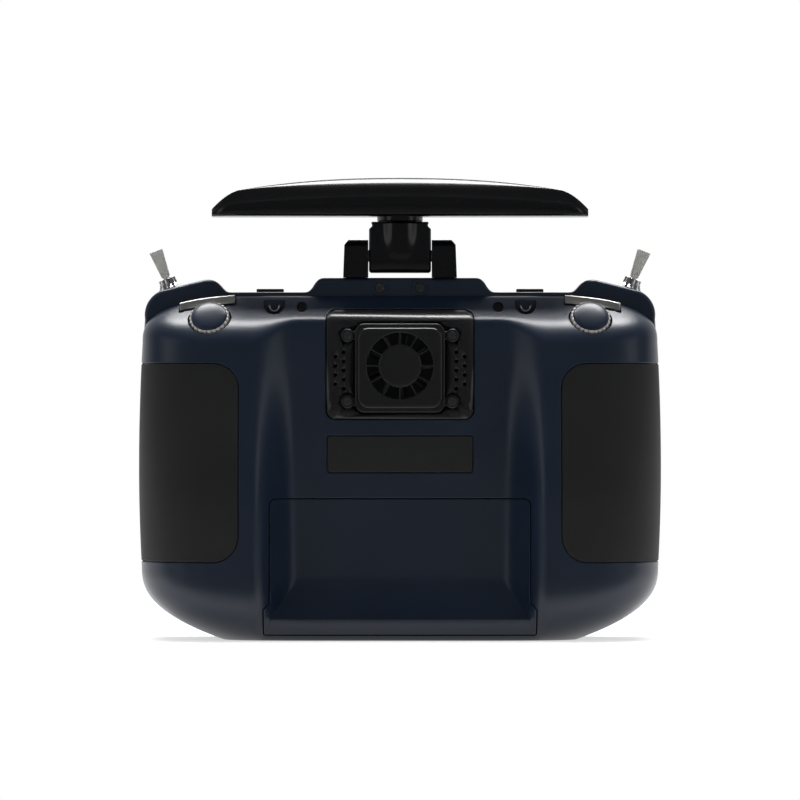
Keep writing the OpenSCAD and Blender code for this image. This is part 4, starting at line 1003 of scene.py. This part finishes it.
base_of_block = hinge_z - barrel_r
block_right = [(13, base_of_block, 1.2), (13, hinge_z + 11.2, 0.8), (11.6, hinge_z + 12.4, 0.9),
               (12.2, block_top, 0.5)]
block_left = [(-x, z, r) for x, z, r in block_right[::-1]]
block_corners = block_left[-1:] + block_right + block_left[:-1]
hinge = pillow("hinge_block_moulding", block_corners, block_depth, hinge_y, 1.0)
bore = moved(turned("bore", [(0, -20), (2.6, -20), (2.6, 20), (0, 20)]),
             Matrix.Translation((0, hinge_y, hinge_z)) @ Matrix.Rotation(math.pi / 2, 4, "Y"))
socket = moved(turned("socket", [(0, 0), (5.05, 0), (5.05, 11), (0, 11)]),
               Matrix.Translation((0, hinge_y, block_top - 9.5)))
hinge = carved(hinge, ("DIFFERENCE", bore), ("DIFFERENCE", socket))
dress(hinge, black_gloss, "antenna_hinge", ["hinge_block"])

bar_l, bar_d, bar_z = 157.6, 22.0, block_top + 2.1
bar_hw = bar_l / 2
bar_bend = bar_hw - 12.2


def bar_height(x):
    x = np.abs(x)
    return np.where(x < bar_bend, 16.4 - 5.0 * (x / bar_bend) ** 2.3,
                    11.4 - 8.2 * np.clip((x - bar_bend) / (bar_hw - bar_bend), 0, 1) ** 1.6)


def bar_section(x):
    """Right half of the bar's section at x: an upright edge, a lean face and a steep top bevel."""
    top = float(bar_height(x))
    crease_at = min(8.2 - 4 * (x / bar_hw) ** 2, 0.5 * top)
    bevel_at = min(12.9 - 1.7 * (x / 68) ** 2, 0.96 * top)
    face_y = 10.1 - (bevel_at - crease_at - 1) * math.tan(math.radians(20))
    top_y = max(3.0, face_y - (top - 0.25 - bevel_at) * math.tan(math.radians(49)))
    knots = np.array([(6.6, 0), (9.2, 0), (bar_d / 2, 0.12 * top), (bar_d / 2, crease_at - 0.3),
                      (10.1, crease_at + 1), (face_y, bevel_at), (top_y, top - 0.25), (top_y - 1.2, top),
                      (1.2, top)])
    return np.concatenate([[(0, 0)], eased(knots, 2), [(0, top)]])


def bar_solid(name):
    bent = np.sin(np.radians(np.linspace(3, 90, 24)))
    half = np.concatenate([np.linspace(0, bar_bend, 34), bar_bend + (bar_hw - bar_bend) * bent])
    stations = np.concatenate([-half[:0:-1], half])
    verts = []
    for x in stations:
        section = bar_section(x)
        ring = np.concatenate([section, section[-2:0:-1] * (-1, 1)])
        end = 1 - 0.35 * (max(0, abs(x) - bar_bend) / (bar_hw - bar_bend)) ** 3
        verts += [(x, hinge_y + p[0] * end, bar_z + p[1]) for p in ring]
    n = len(ring)
    faces = [tuple(range(n)), tuple(range(len(verts) - 1, len(verts) - n - 1, -1))]
    for a in range(0, len(verts) - n, n):
        faces += [(a + j, a + n + j, a + n + (j + 1) % n, a + (j + 1) % n) for j in range(n)]
    return solid(name, verts, faces, 30)


bar = bar_solid("antenna_bar_moulding")
slot_l = bar_l - 40
stem_place = Matrix.Translation((0, hinge_y, block_top + 0.1))
disc = moved(turned("disc", [(0, 0), (9.2, 0), (9.6, 0.4), (9.6, 2.5), (0, 2.5)], 64), stem_place)
spigot = moved(turned("spigot", [(0, -9.3), (4.6, -9.3), (5, -8.9), (5, 1), (0, 1)], 48), stem_place)
slot = block((-slot_l / 2, hinge_y - 6, bar_z + 2.2), (slot_l / 2, hinge_y + 6, bar_z + 8))
bar = carved(bar, ("DIFFERENCE", slot), ("UNION", disc), ("UNION", spigot), sharp=30)
dress(bar, black_gloss, "antenna", ["antenna_bar"])

# ------------------------------------------------------------ front shell
# The pilot's half is moulded in the same navy. Its face is flat behind a
# rounded rim, with wells for the sticks and openings for keys and screen.
front_d = 21.0


def front_form(name, inset, n):
    r = 8.0
    rings = [(drawn_in(inset), -1.0 if inset else 0.0)]
    for a in np.radians(np.linspace(0, 90, n)):
        rings.append((drawn_in(inset + 0.6 * r * (1 - math.cos(a))), front_d - inset - r + r * math.sin(a)))
    return lofted(name, rings)


gimbal_x, gimbal_z, well_r = half_w - 43.2, 92.0, 27.5
trim_l, trim_w = 15.0, 3.6
trim_z, trim_x = gimbal_z - well_r - 6.5, gimbal_x - well_r - 5.2
screen_z, window_hw, window_hh, key_x, key_r, power_z = 41.0, 38.0, 22.0, 55.0, 4.2, 78.0
roller_x, roller_r, roller_y = half_w - 34, 7.5, front_d - 3.8
speaker_x, speaker_z = half_w - 36, 36.0
face_in = front_d - wall - 2


def flared(x, z, r, lip=0.4):
    """A hole through the front face with a small countersink."""
    deep, wide = front_d - face_in, r + lip + 0.5
    profile = [(0, 0), (r, 0), (r, deep - lip), (wide, deep + 0.5), (wide, deep + 3), (0, deep + 3)]
    return spun("hole", profile, x, face_in, z, 48)


hollow_steps = []
for side in (-1, 1):
    for x, z in case_screws_at:
        hollow_steps.append(("DIFFERENCE", rod_y(side * x, z, 3.6, seam, 40, 24)))
    for z in (66, 124):
        hollow_steps.append(("DIFFERENCE", rod_y(side * 32, z, 2.4, 8, 40, 20)))
    x = side * 3.6 + roller_x
    cheek = block((x - 0.8, front_d - 8.5, screen_z - 9), (x + 0.8, 40, screen_z + 3))
    hollow_steps.append(("DIFFERENCE", cheek))
hollow = carved(front_form("front_hollow", wall, 4), *hollow_steps)
window = plate_path(window_hw, screen_z - window_hh, screen_z + window_hh, 2)
steps = [("DIFFERENCE", hollow), ("DIFFERENCE", prism(window, 1, front_d - wall - 3, front_d + 1))]
for side in (-1, 1):
    gx = side * gimbal_x
    steps.append(("DIFFERENCE", flared(gx, gimbal_z, well_r + seam, 0.5)))
    ear = sorted((side * (ear_in + ear_shy), side * (ear_out - ear_shy)))
    steps.append(("DIFFERENCE", block((ear[0], -1, top_z), (ear[1], hinge_y + 5.8, body_h + 1))))
    key = sorted((side * 48.6, side * 60.6))
    steps.append(("DIFFERENCE", block((key[0], 1.7, top_z - wall - 2), (key[1], 9.3, top_z + 1))))
    for place, reach in ((at_toggle(side), 12), (at_front_toggle(side), 6)):
        hole = turned("hole", [(0, -reach), (3.2, -reach), (3.2, reach), (0, reach)])
        steps.append(("DIFFERENCE", moved(hole, place)))
    for x, z in case_screws_at:
        steps.append(("DIFFERENCE", rod_y(side * x, z, 1.25, -1, 9, 16)))
    for z in (-8, 8):
        steps.append(("DIFFERENCE", flared(side * key_x, screen_z + z, key_r + seam)))
    long_half, short_half = trim_l / 2 + 0.5, trim_w / 2 + 0.5
    for x, z, dx, dz in ((gx, trim_z, long_half, short_half),
                         (side * trim_x, gimbal_z, short_half, long_half)):
        steps.append(("DIFFERENCE", block((x - dx, face_in, z - dz), (x + dx, front_d + 1, z + dz))))
steps.append(("DIFFERENCE", flared(0, power_z, key_r + 0.8 + seam)))
for r, half in ((roller_r + 0.6, 2.8), (1.4, 6)):
    hole = turned("roller_slot", [(0, -half), (r, -half), (r, half), (0, half)])
    steps.append(("DIFFERENCE", moved(hole, Matrix.Translation((roller_x, roller_y, screen_z - 3))
                                      @ Matrix.Rotation(math.pi / 2, 4, "Y"))))
for r, count in ((0, 1), (6, 8)):
    for a in np.arange(count) * 2 * math.pi / 8:
        x, z = -speaker_x + r * math.cos(a), speaker_z + r * math.sin(a)
        steps.append(("DIFFERENCE", rod_y(x, z, 1.1, face_in, front_d + 1, 20)))
front = carved(front_form("front_shell_moulding", 0.0, 13), *steps)
even(front)
dress(front, navy_paint, "housing", ["front_shell"])

keep(["front_fascia"], black_gloss, 0.4, 3)
keep(["gimbal_housing_left", "gimbal_housing_right", "gimbal_yoke_left", "gimbal_yoke_right",
      "battery_tray", "speaker",
      "trim_left_level", "trim_left_upright", "trim_right_level", "trim_right_upright",
      "key_1", "key_2", "key_3", "key_4", "power_button"], black_satin, 0.3)
keep(["stick_left", "stick_right", "stick_tip_left", "stick_tip_right", "scroll_roller"], silver, 0.15)

# ----------------------------------------------------- screen, boards, cells
# A clear cover lies over the unlit screen. Behind it are green circuit
# boards, and two wrapped steel cells lie in the tray under the battery door.


def cover_glass(w, place):
    smudge = place.noise(70.0, 3.0).between(0.5, 0.8)
    return w.node("BsdfPrincipled", {}, {
        "Base Color": (0.05, 0.05, 0.06, 1), "Roughness": 0.03 + smudge * 0.08, "IOR": 1.5,
        "Alpha": 0.35 + smudge * 0.03})


def unlit_screen(w, place):
    rows_of = w.node("TexWave", {"bands_direction": "Z"}, {"Vector": place, "Scale": 900.0})
    return w.node("BsdfPrincipled", {}, {
        "Base Color": rows_of.blend((0.010, 0.012, 0.016, 1), (0.014, 0.016, 0.022, 1)),
        "Roughness": 0.29 + rows_of * 0.05})


def solder_mask(w, place):
    cells = w.node("TexVoronoi", {"distance": "MANHATTAN", "feature": "F1"},
                   {"Vector": place, "Scale": 260.0})
    tracks = cells.between(0.28, 0.34)
    return w.node("BsdfPrincipled", {}, {
        "Base Color": tracks.blend((0.0022, 0.0085, 0.0055, 1), (0.0036, 0.0140, 0.0085, 1)),
        "Roughness": 0.30 + tracks * 0.1,
        "Normal": w.node("Bump", {}, {"Strength": 0.3, "Distance": 0.0001, "Height": tracks})})


def cell_wrap(w, place):
    x = w.node("SeparateXYZ", {}, {0: place}, 0)
    ends = x.math("ABSOLUTE", x).between(0.0340, 0.0343)
    film = place.noise(500.0, 3.0)
    return w.node("BsdfPrincipled", {}, {
        "Base Color": ends.blend((0.010, 0.055, 0.165, 1), (0.55, 0.55, 0.55, 1)), "Metallic": ends,
        "Roughness": 0.28 + film * 0.12})


keep(["screen_glass"], finish("cover_glass", cover_glass), 0.2)
keep(["screen_panel"], finish("unlit_screen", unlit_screen), 0.2)
keep(["main_board", "module_board", "antenna_element"], finish("green_board", solder_mask), 0.1, 1)
keep(["battery_cells"], finish("cell_wrap", cell_wrap), 0.5, 3)

# ----------------------------------------------------------------- studio
# A white table and surround. One long softbox hangs over the transmitter, two
# stand at its sides and one lights the pilot's face. The camera's side is dim.
floor_hw = 6.0
floor = bpy.data.meshes.new("floor")
floor.from_pydata([(x * floor_hw, y * floor_hw, 0) for x, y in ((-1, -1), (1, -1), (1, 1), (-1, 1))], [],
                  [(0, 1, 2, 3)])
floor = bpy.data.objects.new("floor", floor)
scene.collection.objects.link(floor)


def rays(w):
    """1 for a ray from the camera, straight or through glass; and 1 for a reflected ray."""
    camera_ray = w.node("LightPath", {}, {}, 0)
    through, glossy = (Wire(w.tree, camera_ray.socket.node.outputs[kind])
                       for kind in ("Is Transmission Ray", "Is Glossy Ray"))
    return camera_ray.larger(through), glossy


def white_table(w, place):
    """White where it is seen, with the shadow kept near the transmitter. Reflections see
    it white from under the transmitter to the far side, and dim on the camera's side."""
    def matt(grey):
        return w.node("BsdfDiffuse", {}, {"Color": (grey, grey, grey, 1)})

    def glow(strength):
        return w.node("Emission", {}, {"Color": (1, 1, 1, 1), "Strength": strength})

    seen, glossy = rays(w)
    near = w.node("SeparateXYZ", {}, {0: place}, 1).between(-0.10, -0.05)
    away = w.node("VectorMath", {"operation": "LENGTH"}, {0: place}, 1).between(0.30, 0.75)
    lit = w.node("AddShader", {}, {0: matt(0.55), 1: glow(0.60)})
    dim = w.node("MixShader", {}, {0: glossy, 1: matt(0.62), 2: matt(0.12)})
    bright = w.node("MixShader", {}, {0: away, 1: lit, 2: glow(1.0)})
    return w.node("MixShader", {}, {0: seen.larger(glossy * near), 1: dim, 2: bright})


floor.data.materials.append(finish("white_table", white_table))

world = bpy.data.worlds.new("surround")
scene.world = world
world.use_nodes = True
world.node_tree.nodes.clear()
w = Wire(world.node_tree)
seen, glossy = rays(w)
far_side = w.node("SeparateXYZ", {}, {0: w.node("TexCoord", {}, {}, 0)}, 1).between(0.0, 0.5)
room = glossy.blend((0.50, 0.50, 0.51, 1), (0.10, 0.105, 0.115, 1))
colour = seen.larger(glossy * far_side).blend(room, (1, 1, 1, 1))
w.node("OutputWorld", {}, {"Surface": w.node("Background", {}, {"Color": colour, "Strength": 1.0})})

for name, place, aim, width, depth_of, power in (
        ("softbox_over", (0, 0.20, 1.25), (0, -0.02, 0.12), 1.1, 0.26, 23.0),
        ("softbox_left", (-1.15, -0.70, 0.35), (0, 0, 0.09), 0.4, 0.9, 0.8),
        ("softbox_right", (1.15, -0.70, 0.35), (0, 0, 0.09), 0.4, 0.9, 0.8),
        ("softbox_face", (0, 1.3, 0.8), (0, 0, 0.08), 0.9, 0.5, 5.0)):
    lamp = bpy.data.lights.new(name, "AREA")
    lamp.shape, lamp.size, lamp.size_y, lamp.energy = "RECTANGLE", width, depth_of, power
    lamp = bpy.data.objects.new(name, lamp)
    lamp.location = place
    lamp.rotation_euler = (Vector(aim) - Vector(place)).to_track_quat("-Z", "Y").to_euler()
    scene.collection.objects.link(lamp)

# The camera is level, half way up the picture's height, 2.5 m from the parting plane.
view_width, view_height, distance = 0.336, 0.1, 2.5
camera = bpy.data.cameras.new("camera")
camera.sensor_width = 36
camera.lens = camera.sensor_width * distance / view_width
camera.clip_start, camera.clip_end = 0.05, 50
camera = bpy.data.objects.new("camera", camera)
camera.location = (0, -distance, view_height)
camera.rotation_euler = (math.pi / 2, 0, 0)
scene.collection.objects.link(camera)
scene.camera = camera
scene.view_settings.view_transform = "Standard"
